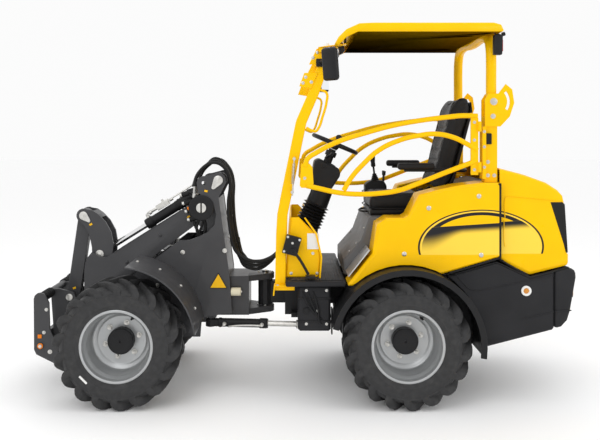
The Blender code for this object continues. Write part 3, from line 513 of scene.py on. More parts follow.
    def bolt(self, place: Place, out: Place, size: float = 0.010) -> "Workpiece":
        """A hexagon head on a washer.

        Args:
            place: the middle of the washer's seat.
            out: the direction in which the head stands.
            size: the head's radius.

        Returns:
            The workpiece.
        """
        place, out = Vector(place), Vector(out).normalized()
        self.bar(place - out * 0.001, place + out * size * 0.22, size * 1.45, sides=20, edge=size * 0.07)
        self.bar(place, place + out * size * 0.80, size, sides=6, edge=size * 0.10)
        return self.bar(place, place + out * size * 0.98, size * 0.50, sides=12, edge=size * 0.12)

    def done(self, name: str, body: str, finish: Finish, smooth: float = 38.0) -> bpy.types.Object:
        """The finished piece as an object that rides on a body.

        Args:
            name: the piece's name.
            body: the CAD body that carries it.
            finish: its finish.
            smooth: the largest angle in degrees that is shaded as round.

        Returns:
            The object.
        """
        mesh = bpy.data.meshes.new(name)
        self.bm.to_mesh(mesh)
        self.bm.free()
        return placed(bpy.data.objects.new(name, mesh), body, finish, smooth)


def placed(piece: bpy.types.Object, body: str, finish: Finish, smooth: float = 38.0) -> bpy.types.Object:
    """Links a piece into the scene, shades it, gives it its finish and its body.

    Args:
        piece: the mesh object.
        body: the CAD body that carries it, or nothing for a piece that rides on no body.
        finish: its finish.
        smooth: the largest angle in degrees that is shaded as round.

    Returns:
        The same object.
    """
    bpy.context.scene.collection.objects.link(piece)
    piece.data.shade_smooth()
    piece.data.set_sharp_from_angle(angle=math.radians(smooth))
    piece.data.materials.clear()
    piece.data.materials.append(finish.material())
    if body:
        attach(piece, body)
    LOG.info("%s rides on %s: %d faces", piece.name, body, len(piece.data.polygons))
    return piece


def refined(node: str, finish: Finish, edge: float = 0.0025, segments: int = 2,
            angle: float = 40.0) -> bpy.types.Object:
    """A CAD node's own shape with merged faces, rounded edges and smooth shading.

    Args:
        node: the CAD node, which is hidden.
        finish: the finish of the new piece.
        edge: the rounding of its sharp edges.
        segments: facets in the rounding.
        angle: edges sharper than this many degrees are rounded.

    Returns:
        The piece that stands for the node.
    """
    bm = bmesh.new()
    bm.from_mesh(frame["nodes"][node].data)
    bmesh.ops.remove_doubles(bm, verts=bm.verts, dist=2e-5)
    bmesh.ops.dissolve_limit(bm, angle_limit=math.radians(0.4), verts=bm.verts, edges=bm.edges)
    mesh = bpy.data.meshes.new(f"{node}_skin")
    bm.to_mesh(mesh)
    bm.free()
    piece = placed(bpy.data.objects.new(f"{node}_skin", mesh), BODY_OF[node], finish, angle)
    if edge > 0:
        modifier = piece.modifiers.new("Rounded edges", "BEVEL")
        modifier.width = edge
        modifier.segments = segments
        modifier.limit_method = "ANGLE"
        modifier.angle_limit = math.radians(angle)
        modifier.harden_normals = False
    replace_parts(piece, node)
    return piece


def dress(node: str, finish: Finish) -> None:
    """Gives a CAD node that stays its own finish."""
    mesh = frame["nodes"][node].data
    mesh.materials.clear()
    mesh.materials.append(finish.material())


def circle(centre: Place, axis: Place, radius: float, count: int, start: float = 0.0) -> list[Vector]:
    """Points evenly round a circle.

    Args:
        centre: its middle.
        axis: its axis.
        radius: its radius.
        count: how many points.
        start: the first point's angle in degrees.

    Returns:
        The points.
    """
    axis = Vector(axis).normalized()
    first = axis.orthogonal().normalized()
    second = axis.cross(first)
    angles = [math.radians(start) + math.tau * i / count for i in range(count)]
    return [Vector(centre) + radius * (first * math.cos(a) + second * math.sin(a)) for a in angles]


def lerp(stops: Sequence[tuple[float, float]], share: float) -> tuple[float, float]:
    """The point a share of the way along a list of points."""
    whole = share * (len(stops) - 1)
    index = min(int(whole), len(stops) - 2)
    part = whole - index
    (a, b), (c, d) = stops[index], stops[index + 1]
    return a + (c - a) * part, b + (d - b) * part


def teardrop(tip: tuple[float, float], pin: tuple[float, float],
             radius: float) -> list[tuple[float, float]]:
    """The (x, z) outline of a retaining plate round a pin with its narrow end at tip."""
    away = math.atan2(tip[1] - pin[1], tip[0] - pin[0])
    wide = [(pin[0] + radius * math.cos(away + a), pin[1] + radius * math.sin(away + a))
            for a in (math.radians(d) for d in range(70, 291, 20))]
    small = radius * 0.38
    narrow = [(tip[0] + small * math.cos(away + a), tip[1] + small * math.sin(away + a))
              for a in (math.radians(d) for d in range(-70, 71, 35))]
    return wide + narrow


# Wheels -----------------------------------------------------------------------------


@dataclass
class Wheel:
    """A farm-tread tyre on a dished rim."""

    end: str
    side: Side
    lugs: int = 18
    lug_width: float = 0.044
    sweep: float = 0.38
    nuts: int = 6
    nut_circle: float = 0.103
    cap_radius: float = 0.0775

    @property
    def name(self) -> str:
        """The wheel's place in words, as the nodes use it."""
        return f"{self.end}_{self.side.word}"

    def __post_init__(self) -> None:
        """Reads the wheel's place and size from its tyre."""
        low, high = (Vector(corner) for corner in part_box(f"tyre_{self.name}"))
        self.centre = (low + high) / 2
        self.radius = self.centre.z
        self.half = (high.y - low.y) / 2
        self.out = Vector((0, self.side.value[1], 0))
        self.body = f"wheel_{self.name}"

    def carcass(self, work: Workpiece) -> None:
        """The tyre's body: crown, shoulders, bulged walls with ribs, and beads."""
        half = [(0.0, 0.343), (0.050, 0.341), (0.090, 0.334), (0.110, 0.324), (0.121, 0.311),
                (0.1250, 0.305),
                (0.1300, 0.3035), (0.1305, 0.300), (0.1285, 0.297), (0.1310, 0.280), (0.1315, 0.262),
                (0.1285, 0.242), (0.1290, 0.239), (0.1270, 0.236), (0.1215, 0.222), (0.1190, 0.2145),
                (0.1130, 0.2105), (0.0980, 0.2065)]
        inner = [(0.096, 0.220), (0.108, 0.275), (0.088, 0.325)]
        profile = [*half, *inner, *[(-y, r) for y, r in reversed(inner)],
                   *[(-y, r) for y, r in reversed(half[1:])]]
        work.turned(profile, self.centre, self.out, 112)

    def lugs_on(self, work: Workpiece, angle: float, way: int) -> None:
        """The bars of one half of the tread, from the crown round the shoulder and down the wall.

        Args:
            work: the workpiece that takes them.
            angle: where the first starts at the crown, in radians.
            way: +1 for the outer half of the tread, -1 for the inner.
        """
        top = [(-0.004, 0.3690), (0.040, 0.3712), (0.090, 0.3720), (0.121, 0.3690), (0.1318, 0.3480),
               (0.1318, 0.3040)]
        foot = [(-0.004, 0.3380), (0.040, 0.3380), (0.082, 0.3320), (0.104, 0.3220), (0.1160, 0.3080),
                (0.1240, 0.2960)]
        bar = Workpiece()
        bmesh.ops.create_cube(bar.bm, size=1.0)
        long_edges = [e for e in bar.bm.edges if abs(e.verts[0].co.x - e.verts[1].co.x) > 0.5]
        bmesh.ops.subdivide_edges(bar.bm, edges=long_edges, cuts=6, use_grid_fill=True)
        for vert in bar.bm.verts:
            share = vert.co.x + 0.5
            high = vert.co.z > 0
            y, r = lerp(top if high else foot, share)
            width = self.lug_width * (0.62 + 0.22 * share if high else 0.82 + 0.30 * share)
            turn = angle + self.sweep * min(1.0, share * 1.15) ** 0.85 + vert.co.y * width / r
            vert.co = self.centre + Vector((r * math.sin(turn), self.out.y * way * y, r * math.cos(turn)))
        bmesh.ops.recalc_face_normals(bar.bm, faces=bar.bm.faces)
        bmesh.ops.bevel(bar.bm, geom=bar.bm.edges, offset=0.0022, offset_type="OFFSET", segments=1,
                        profile=0.5, affect="EDGES", clamp_overlap=True, material=-1)
        rest = self.lugs - 1
        bmesh.ops.spin(bar.bm, geom=[*bar.bm.verts, *bar.bm.edges, *bar.bm.faces], cent=self.centre,
                       axis=self.out, angle=math.tau * rest / self.lugs, steps=rest, use_duplicate=True)
        ring = bpy.data.meshes.new("tread bars")
        bar.bm.to_mesh(ring)
        bar.bm.free()
        work.bm.from_mesh(ring)
        bpy.data.meshes.remove(ring)

    def tyre(self) -> None:
        """The tyre in place of its CAD solid."""
        work = Workpiece()
        self.carcass(work)
        self.lugs_on(work, 0.0, 1)
        self.lugs_on(work, math.pi / self.lugs, -1)
        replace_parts(work.done(f"tread_{self.name}", self.body, Look.TYRE, 30), f"tyre_{self.name}")

    def rim(self) -> None:
        """The rim: rolled flanges, stepped well and a dished disc."""
        section = [
            (-0.1170, 0.2130), (-0.1205, 0.2090), (-0.1185, 0.2035), (-0.1120, 0.2020), (-0.0820, 0.2000),
            (-0.0720, 0.1880), (-0.0600, 0.1850), (0.0600, 0.1850), (0.0720, 0.1880), (0.0820, 0.2000),
            (0.1120, 0.2020), (0.1165, 0.2060), (0.1160, 0.2115), (0.1180, 0.2135), (0.1205, 0.2110),
            (0.1210, 0.2040), (0.1180, 0.1985), (0.0980, 0.1955), (0.0880, 0.1930), (0.0760, 0.1820),
            (0.0600, 0.1790), (0.0050, 0.1780), (-0.0120, 0.1740), (-0.0220, 0.1640), (-0.0240, 0.1520),
            (-0.0340, 0.1460), (-0.0370, 0.1380), (-0.0370, 0.0700), (-0.0450, 0.0700), (-0.0450, 0.1420),
            (-0.0330, 0.1580), (-0.0300, 0.1690), (-0.0150, 0.1800), (-0.0600, 0.1800), (-0.0900, 0.1930),
            (-0.1150, 0.1960),
        ]
        work = Workpiece().turned(section, self.centre, self.out, 112)
        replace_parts(work.done(f"dish_{self.name}", self.body, Look.RIM, 50), f"rim_{self.name}")

    def hub(self) -> None:
        """The black hub with its cap, the nuts and the valve."""
        face = self.centre - self.out * 0.037
        cap = self.cap_radius
        work = Workpiece().turned(
            [(-0.070, 0.0), (-0.070, cap), (0.044, cap), (0.050, cap - 0.004), (0.052, cap - 0.012),
             (0.048, cap - 0.020), (0.048, 0.008), (0.043, 0.006), (0.043, 0.0)], face, self.out, 64, False)
        work.turned([(-0.074, 0.0), (-0.074, 0.110), (-0.009, 0.110), (-0.009, 0.0)], face, self.out, 48,
                    False)
        work.done(f"hub_{self.name}", self.body, Look.PLASTIC, 30)
        nuts = Workpiece()
        for place in circle(face, self.out, self.nut_circle, self.nuts, 30):
            nuts.bar(place - self.out * 0.002, place + self.out * 0.004, 0.0165, sides=24, edge=0.001)
            nuts.bar(place + self.out * 0.003, place + self.out * 0.019, 0.0125, sides=6, edge=0.0012)
            nuts.bar(place + self.out * 0.012, place + self.out * 0.027, 0.0070, sides=16, edge=0.001)
        nuts.done(f"nuts_{self.name}", self.body, Look.ZINC, 30)
        seat = circle(self.centre + self.out * 0.060, self.out, 0.176, 1, 196)[0]
        valve = Workpiece().bar(seat, seat + self.out * 0.036, 0.0050, 0.0042, 14, 0.0008)
        valve.bar(seat + self.out * 0.024, seat + self.out * 0.040, 0.0062, sides=14, edge=0.001)
        valve.bar(seat - self.out * 0.006, seat + self.out * 0.004, 0.0110, sides=20, edge=0.002)
        valve.done(f"valve_{self.name}", self.body, Look.HOSE)

    def dash(self) -> None:
        """The short white dash on the wall of a front tyre."""
        lean = Matrix.Rotation(math.radians(45), 4, "Y")
        middle = self.centre + self.out * 0.1312 + Vector((-0.184, 0, -0.184))
        half = Vector((0.030, 0.0012, 0.006))
        Workpiece().block(middle - half, middle + half, 0.0006, 1, lean).done(
            f"dash_{self.name}", self.body, Look.WHITE)

    def build(self) -> None:
        """Makes the whole wheel."""
        self.tyre()
        self.rim()
        self.hub()
        if self.end == "front":
            self.dash()


# Loader arm -------------------------------------------------------------------------


@dataclass
class Cylinder:
    """A hydraulic cylinder: skins over its CAD barrel and rod, with gland, ports and pipe."""

    stem: str
    base: Place
    eye: Place
    barrel: float
    radius: float = 0.0318
    rod: float = 0.0176
    ports_up: Place = (0, 0, 1)

    def build(self) -> None:
        """Makes the barrel's and the rod's pieces."""
        base, eye = Vector(self.base), Vector(self.eye)
        along = (eye - base).normalized()
        body, rod_body = f"{self.stem}_barrel", f"{self.stem}_rod"
        refined(body, Look.PLASTIC, 0.001)
        dress(rod_body, Look.ZINC)
        r, length = self.radius, self.barrel
        work = Workpiece().turned(
            [(0.050, r), (0.054, r + 0.003), (0.066, r + 0.003), (0.070, r), (length - 0.050, r),
             (length - 0.046, r + 0.0045), (length - 0.006, r + 0.0045), (length, r + 0.001),
             (length, self.rod + 0.004), (0.050, self.rod + 0.004)], base, along, 48)
        work.done(f"{body}_tube", body, Look.PLASTIC, 30)
        up = Vector(self.ports_up)
        up = (up - along * up.dot(along)).normalized()
        side = along.cross(up)
        ports = Workpiece()
        for place in (0.092, length - 0.030):
            seat = base + along * place + up * (r - 0.002)
            ports.bar(seat, seat + up * 0.016, 0.0120, sides=20, edge=0.001)
            ports.bar(seat + up * 0.014, seat + up * 0.030, 0.0105, sides=6, edge=0.001)
        head = base + along * (length - 0.030) + up * (r + 0.026)
        foot = base + along * 0.092 + up * (r + 0.026)
        ports.tube([head, head - along * 0.020 + up * 0.006, head - along * 0.050 + up * 0.004,
                    foot + along * 0.060 + up * 0.004 + side * 0.006, foot + along * 0.030 + side * 0.012],
                   0.0055, 10)
        ports.done(f"{body}_ports", body, Look.ZINC, 30)
        gland = Workpiece().turned(
            [(0.0, self.rod + 0.0015), (0.0, r - 0.004), (0.002, r - 0.006), (0.004, self.rod + 0.006),
             (0.005, self.rod + 0.0015)], base + along * length, along, 40)
        gland.done(f"{body}_wiper", body, Look.HOSE)
        reach = (eye - base).length
        shaft = Workpiece().bar(base + along * (length * 0.75), base + along * (reach - 0.040), self.rod,
                                sides=40)
        shaft.done(f"{rod_body}_chrome", rod_body, Look.CHROME)


@dataclass
class Arm:
    """The boom, the lever and link that keep the tool level, and their pins and cylinders."""

    tilt_base: tuple[float, float] = (-0.521, 1.304)
    rod_pin: tuple[float, float] = (-1.302, 0.818)
    link_pin: tuple[float, float] = (-1.408, 1.067)
    lift_base: tuple[float, float] = (-0.720, 0.360)
    lift_rod: tuple[float, float] = (-0.830, 0.895)

    def retainers(self) -> None:
        """The pale teardrop plates that hold the pins, each with its screw."""
        places = [("tilt_lever", self.link_pin, (-1.372, 1.034), 0.027, 0.064),
                  ("tilt_lever", self.rod_pin, (-1.310, 0.768), 0.027, 0.064),
                  ("front_frame", self.tilt_base, (-0.552, 1.258), 0.030, 0.1855)]
        for body, pin, tip, radius, y in places:
            for side in Side:
                work = Workpiece().plate(teardrop(tip, pin, radius), *side.span(y + 0.0004, y + 0.0054),
                                         0.001)
                out = Vector((0, side.y(1), 0))
                head = 0.014 if body == "front_frame" else 0.0092
                work.bar((pin[0], side.y(y), pin[1]), (pin[0], side.y(y + 0.0075), pin[1]), 0.014, sides=32,
                         edge=0.001)
                work.bar((pin[0], side.y(y), pin[1]), (pin[0], side.y(y + head), pin[1]), 0.0055, sides=12,
                         edge=0.001)
                work.bolt((tip[0], side.y(y + 0.0054), tip[1]), out, 0.0055)
                work.done(f"retainer_{body}_{abs(round(pin[0] * 1000))}_{side.word}", body, Look.ZINC)

    def stickers(self) -> None:
        """Small blank grease-point stickers."""
        marks = [("tilt_lever", (-1.360, 1.010), 0.064, 25), ("tilt_link", (-1.478, 0.590), 0.028, 20),
                 ("front_frame", (-0.598, 1.236), 0.1855, -10), ("boom", (-0.722, 1.062), 0.0900, 40)]
        for body, (x, z), y, lean in marks:
            for side in Side:
                low, high = side.span(y + 0.0002, y + 0.0010)
                work = Workpiece().block((x - 0.010, low, z - 0.0065), (x + 0.010, high, z + 0.0065),
                                         0.0003, 1, Matrix.Rotation(math.radians(-lean), 4, "Y"))
                work.done(f"sticker_{body}_{side.word}", body, Look.MARK)

    def lift_details(self) -> None:
        """Weld beads and screws on the boom, and the slot screws on the lever."""
        work = Workpiece()
        for side in Side:
            y = side.y(0.0905)
            work.tube([(-0.800, y, 1.085), (-1.000, y, 0.960), (-1.200, y, 0.834)], 0.0028, 8)
            work.bolt((-0.905, y, 0.945), (0, side.y(1), 0), 0.009)
            work.bolt((-1.120, y, 0.770), (0, side.y(1), 0), 0.009)
        work.done("boom_seams", "boom", Look.IRON)
        slot = Workpiece()
        for side in Side:
            y = side.y(0.0645)
            slot.bolt((-1.300, y, 0.640), (0, side.y(1), 0), 0.011)
        slot.done("lever_screws", "tilt_lever", Look.ZINC)

    def cylinders(self) -> None:
        """The tilt cylinder over the boom and the lift cylinder behind it."""
        Cylinder("tilt", (self.tilt_base[0], 0, self.tilt_base[1]), (self.rod_pin[0], 0, self.rod_pin[1]),
                 0.570).build()
        Cylinder("lift", (self.lift_base[0], 0, self.lift_base[1]), (self.lift_rod[0], 0, self.lift_rod[1]),
                 0.480, ports_up=(1, 0, 0)).build()

    def tilt_block(self) -> None:
        """The lock valve on the tilt cylinder with its screws and its elbow."""
        base = Vector((self.tilt_base[0], 0, self.tilt_base[1]))
        along = (Vector((self.rod_pin[0], 0, self.rod_pin[1])) - base).normalized()
        up = ACROSS.cross(along).normalized()
        up = up if up.z > 0 else -up
        lean = UP.rotation_difference(up).to_matrix().to_4x4()
        middle = base + along * 0.415 + up * 0.056
        work = Workpiece().block(middle - Vector((0.045, 0.020, 0.019)),
                                 middle + Vector((0.045, 0.020, 0.019)), 0.003, 2, lean)
        work.bar(middle + along * 0.040, middle + along * 0.092, 0.0095, sides=6, edge=0.001)
        work.bar(middle + along * 0.090, middle + along * 0.108, 0.0130, sides=20, edge=0.0015)
        work.bar(middle - along * 0.010 + up * 0.015, middle - along * 0.010 + up * 0.034, 0.0085, sides=6,
                 edge=0.001)
        work.bar(middle - along * 0.052, middle - along * 0.076, 0.0105, sides=6, edge=0.001)
        work.done("lock_valve", "tilt_barrel", Look.ZINC, 30)
        sleeve = Workpiece().turned(
            [(0.0, 0.034), *[(0.012 + 0.010 * i, 0.0390 if i % 2 else 0.0345) for i in range(9)],
             (0.110, 0.034), (0.110, 0.0322), (0.0, 0.0322)], base + along * 0.235, along, 40)
        sleeve.done("ribbed_sleeve", "tilt_barrel", Look.HOSE, 60)

    def pins(self) -> None:
        """Fresh round pins in place of the faceted ones."""
        for node, (x, z), half in (("lever_pin", (-1.344, 0.524), 0.106),
                                   ("coupler_pin", (-1.423, 0.394), 0.120),
                                   ("link_pin", self.link_pin, 0.062)):
            work = Workpiece().bar((x, -half, z), (x, half, z), 0.0178, sides=32, edge=0.001)
            for side in Side:
                low, high = side.span(half - 0.006, half)
                work.bar((x, low, z), (x, high, z), 0.026, sides=36, edge=0.0015)
            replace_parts(work.done(f"{node}_round", BODY_OF[node], Look.ZINC), node)

    def build(self) -> None:
        """Makes the whole arm."""
        for node in ("boom", "tilt_lever", "tilt_link"):
            refined(node, Look.IRON, 0.0022)
        dress("tilt_piston", Look.ZINC)
        self.pins()
        self.retainers()
        self.stickers()
        self.lift_details()
        self.cylinders()
        self.tilt_block()


@dataclass
class ToolCoupler:
    """The quick coupler at the tip of the arm."""

    cross: tuple[float, float] = (-1.600, 0.585)
    lower: tuple[float, float] = (-1.538, 0.262)
    lock: tuple[float, float] = (-1.594, 0.300)
    half: float = 0.300

    def build(self) -> None:
        """Makes the coupler, its springs and its lock pins."""
        refined("coupler", Look.IRON, 0.002)
        x, z = self.cross
        work = Workpiece()
        for side in Side:
            inner, outer = side.y(0.125), side.y(0.285)
            work.coil((x, inner, z), (x, outer, z), 0.0275, 0.0034, 13)
        work.done("coupler_springs", "coupler", Look.PLASTIC)
        rods = Workpiece()
        x, z = self.lock
        for side in Side:
            out = Vector((0, side.y(1), 0))
            rods.bar((x, side.y(0.120), z), (x, side.y(0.300), z), 0.0130, sides=28)
            rods.bar((x, side.y(0.3245), z), (x, side.y(0.333), z), 0.0110, sides=28, edge=0.002)
            rods.bolt((-1.560, side.y(0.3155), 0.520), out, 0.0075)
            rods.bolt((-1.575, side.y(0.3155), 0.380), out, 0.0075)
            rods.bolt((self.lower[0], side.y(0.3155), self.lower[1]), out, 0.0095)
            rods.bar((-1.483, side.y(0.1125), 0.550), (-1.483, side.y(0.1180), 0.550), 0.022, sides=32,
                     edge=0.001)
        rods.done("coupler_rods", "coupler", Look.ZINC)
        caps = Workpiece()
        for side in Side:
            low, high = side.span(0.3245, 0.3290)
            caps.bar((x, low, z), (x, high, z), 0.0175, sides=32, edge=0.001)
            low, high = side.span(0.3157, 0.3200)
            caps.block((-1.612, low, 0.345), (-1.588, high, 0.368), 0.001)
        caps.done("coupler_caps", "coupler", Look.ORANGE)


# Front machine ----------------------------------------------------------------------


@dataclass
class FrontMachine:
    """The tower, its yoke and guards, and the hoses that pass to the rear."""

    plate_y: float = 0.1862
    wheel: tuple[float, float] = (-1.067, 0.372)
    guard_radius: float = 0.460
    waist: tuple[float, float] = (-0.230, 0.0)
    hose_rows: tuple[float, ...] = (-0.136, -0.112, -0.062, 0.062, 0.112)

    def boom_recess(self) -> None:
        """The round recess at the boom's shoulder, drawn as a raised black ring that is painted shade, and
        the split pin end.
        """
        x, z = -0.628, 1.130
        for side in Side:
            y = self.plate_y
            out = (0, side.y(1), 0)
            base = (x, side.y(y), z)
            # painted shade: this black ring stands for the shade inside the recess round the shoulder pin
            work = Workpiece().turned([(0.0, 0.030), (0.0, 0.078), (0.004, 0.080), (0.007, 0.076),
                                       (0.0075, 0.052), (0.0045, 0.046), (0.0045, 0.030)], base, out, 56)
            work.done(f"shoulder_shade_ring_{side.word}", "front_frame", Look.PLASTIC, 30)
            pin = Workpiece()
            for shift in (-0.0165, 0.0165):
                pin.plate(half_moon(x + shift, z, 0.030, 1 if shift > 0 else -1), *side.span(y, y + 0.008),
                          0.001)
            pin.done(f"shoulder_pin_{side.word}", "front_frame", Look.ZINC)

    def sign(self) -> None:
        """The blank three-cornered sign on each tower plate."""
        x, z, reach = -0.520, 0.655, 0.064
        for side in Side:
            for grow, depth, finish in ((1.0, 0.0012, Look.PLASTIC), (0.90, 0.0018, Look.MARK)):
                corners = [(x, z + reach * grow), (x - reach * 0.87 * grow, z - reach * 0.5 * grow),
                           (x + reach * 0.87 * grow, z - reach * 0.5 * grow)]
                low, high = side.span(self.plate_y - 0.0005, self.plate_y + depth)
                work = Workpiece().plate(corners, low, high, 0.0004, 1)
                work.done(f"sign_{finish.name.split()[0]}_{side.word}", "front_frame", finish)

    def bolts(self) -> None:
        """Screws on the guards and the tower, and the yoke's pivot bolts."""
        work = Workpiece()
        for side in Side:
            for degrees in (22, 42, 62, 80):
                angle = math.radians(degrees)
                out = Vector((math.cos(angle), 0, math.sin(angle)))
                place = Vector((self.wheel[0], side.y(0.380),
                                self.wheel[1])) + out * (self.guard_radius + 0.0005)
                work.bolt(place, out, 0.0075)
            for x, z in ((-0.745, 0.850), (-0.700, 0.560), (-0.480, 0.860), (-0.905, 0.640)):
                work.bolt((x, side.y(self.plate_y), z), (0, side.y(1), 0), 0.010)
        for z in (0.6905, 0.4805):
            for place in circle((*self.waist, z), UP, 0.045, 4, 45):
                work.bolt(place, UP, 0.007)
            work.bolt((*self.waist, z), UP, 0.014)
        work.done("front_bolts", "front_frame", Look.ZINC)

    def stop_roller(self) -> None:
        """The cream roller that meets the rear frame at full steering."""
        for side in Side:
            work = Workpiece().bar((-0.444, side.y(0.150), 0.593), (-0.380, side.y(0.150), 0.593), 0.026,
                                   sides=36, edge=0.005, segments=3)
            work.done(f"stop_roller_{side.word}", "front_frame", Look.CREAM)
            Workpiece().bolt((-0.380, side.y(0.150), 0.593), (1, 0, 0), 0.008).done(
                f"roller_screw_{side.word}", "front_frame", Look.ZINC)

    def tower_hoses(self) -> None:
        """Pressure hoses that climb the tower and pass over its top."""
        work = Workpiece()
        for i, y in enumerate(self.hose_rows):
            drop = 0.012 * (i % 3)
            work.tube([(-0.673 - drop, y, 1.255), (-0.664, y, 1.318 + drop), (-0.610, y, 1.392),
                       (-0.548, y, 1.414 + drop),
                       (-0.486, y, 1.380), (-0.452, y, 1.297), (-0.462 + drop, y, 1.150),
                       (-0.452 + drop, y, 1.004), (-0.430 + drop, y, 0.880)], 0.0105, 12)
        work.done("tower_hoses", "front_frame", Look.HOSE)
        ends = Workpiece()
        for y in self.hose_rows:
            ends.bar((-0.676, y, 1.215), (-0.673, y, 1.262), 0.0125, sides=6, edge=0.001)
            ends.bar((-0.677, y, 1.190), (-0.676, y, 1.218), 0.0155, sides=24, edge=0.002)
        ends.block((-0.478, -0.118, 1.060), (-0.438, 0.105, 1.078), 0.003)
        ends.block((-0.466, -0.118, 0.930), (-0.424, 0.105, 0.946), 0.003)
        ends.done("hose_ends", "front_frame", Look.ZINC)

    def couplings(self) -> None:
        """The quick couplings and short hoses beside the boom's shoulder."""
        black, bright = Workpiece(), Workpiece()
        for side, rows in ((Side.LEFT, 4), (Side.RIGHT, 2)):
            for i in range(rows):
                x, z = -0.735 + 0.017 * i, 1.205 - 0.052 * i
                y = side.y(0.116 + 0.006 * (i % 2))
                black.bar((x - 0.026, y, z), (x + 0.020, y, z + 0.014), 0.0170, sides=28, edge=0.003)
                bright.bar((x - 0.040, y, z - 0.004), (x - 0.026, y, z), 0.0125, sides=24, edge=0.001)
                black.tube([(x + 0.018, y, z + 0.013), (x + 0.055, y, z + 0.010), (x + 0.075, y, z - 0.060),
                            (x + 0.055, y, z - 0.180), (-0.600, y, 0.900)], 0.0095, 12)
        black.done("coupling_bodies", "front_frame", Look.HOSE)
        bright.done("coupling_tips", "front_frame", Look.ZINC)
        collar = Workpiece().bar((-0.722, -0.1320, 1.118), (-0.708, -0.1320, 1.122), 0.0120, sides=24,
                                 edge=0.002)
        collar.done("coupling_collar", "front_frame", Look.ORANGE)

    def waist_hoses(self) -> None:
        """The bundle that hangs across the waist."""
        for i in range(5):
            y = -0.150 + 0.026 * i
            sag = 0.014 * ((i * 2) % 5)
            start, out = self.hose_rows[i], -0.430 + 0.012 * (i % 3)
            route = [(out, start, 0.900), (out + 0.010, start, 0.862 - sag * 0.4),
                     (-0.370, (start + y) / 2, 0.812 - sag),
                     (-0.328, y, 0.792 - sag), (-0.270, y * 0.98, 0.786 - sag),
                     (-0.200, y * 0.95, 0.800 - sag * 0.5),
                     (-0.150, y * 0.92, 0.826), (-0.100, y * 0.9, 0.850)]
            work = Workpiece().tube(route, 0.0115, 12)
            piece = work.done(f"waist_hose_{i}", "", Look.HOSE)
            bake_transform(piece)
        ends = Workpiece()
        for i in range(5):
            y = (-0.150 + 0.026 * i) * 0.9
            ends.bar((-0.106, y, 0.848), (-0.0985, y, 0.851), 0.0150, sides=20, edge=0.002)
        ends.done("waist_hose_glands", "rear_frame", Look.ZINC)

    def build(self) -> None:
        """Makes the whole front machine."""
        refined("front_frame", Look.IRON, 0.002)
        refined("front_axle", Look.IRON, 0.002)
        for side in Side:
            refined(f"mudguard_front_{side.word}", Look.IRON, 0.0008, 1, 60)
        self.boom_recess()
        self.sign()
        self.bolts()
        self.stop_roller()
        self.tower_hoses()
        self.couplings()
        self.waist_hoses()
        Cylinder("steer", (-0.570, -0.150, 0.400), (0.0, -0.200, 0.400), 0.360, 0.0270, 0.0150,
                 ports_up=(0, -1, 0)).build()


def half_moon(x: float, z: float, radius: float, way: int) -> list[tuple[float, float]]:
    """The (x, z) outline of half a disc whose flat faces away from way."""
    start = -90 if way > 0 else 90
    return [(x - way * 0.012 + radius * 0.9 * math.cos(math.radians(start + 18 * i)),
             z + radius * math.sin(math.radians(start + 18 * i))) for i in range(11)]


# Operator's station -----------------------------------------------------------------


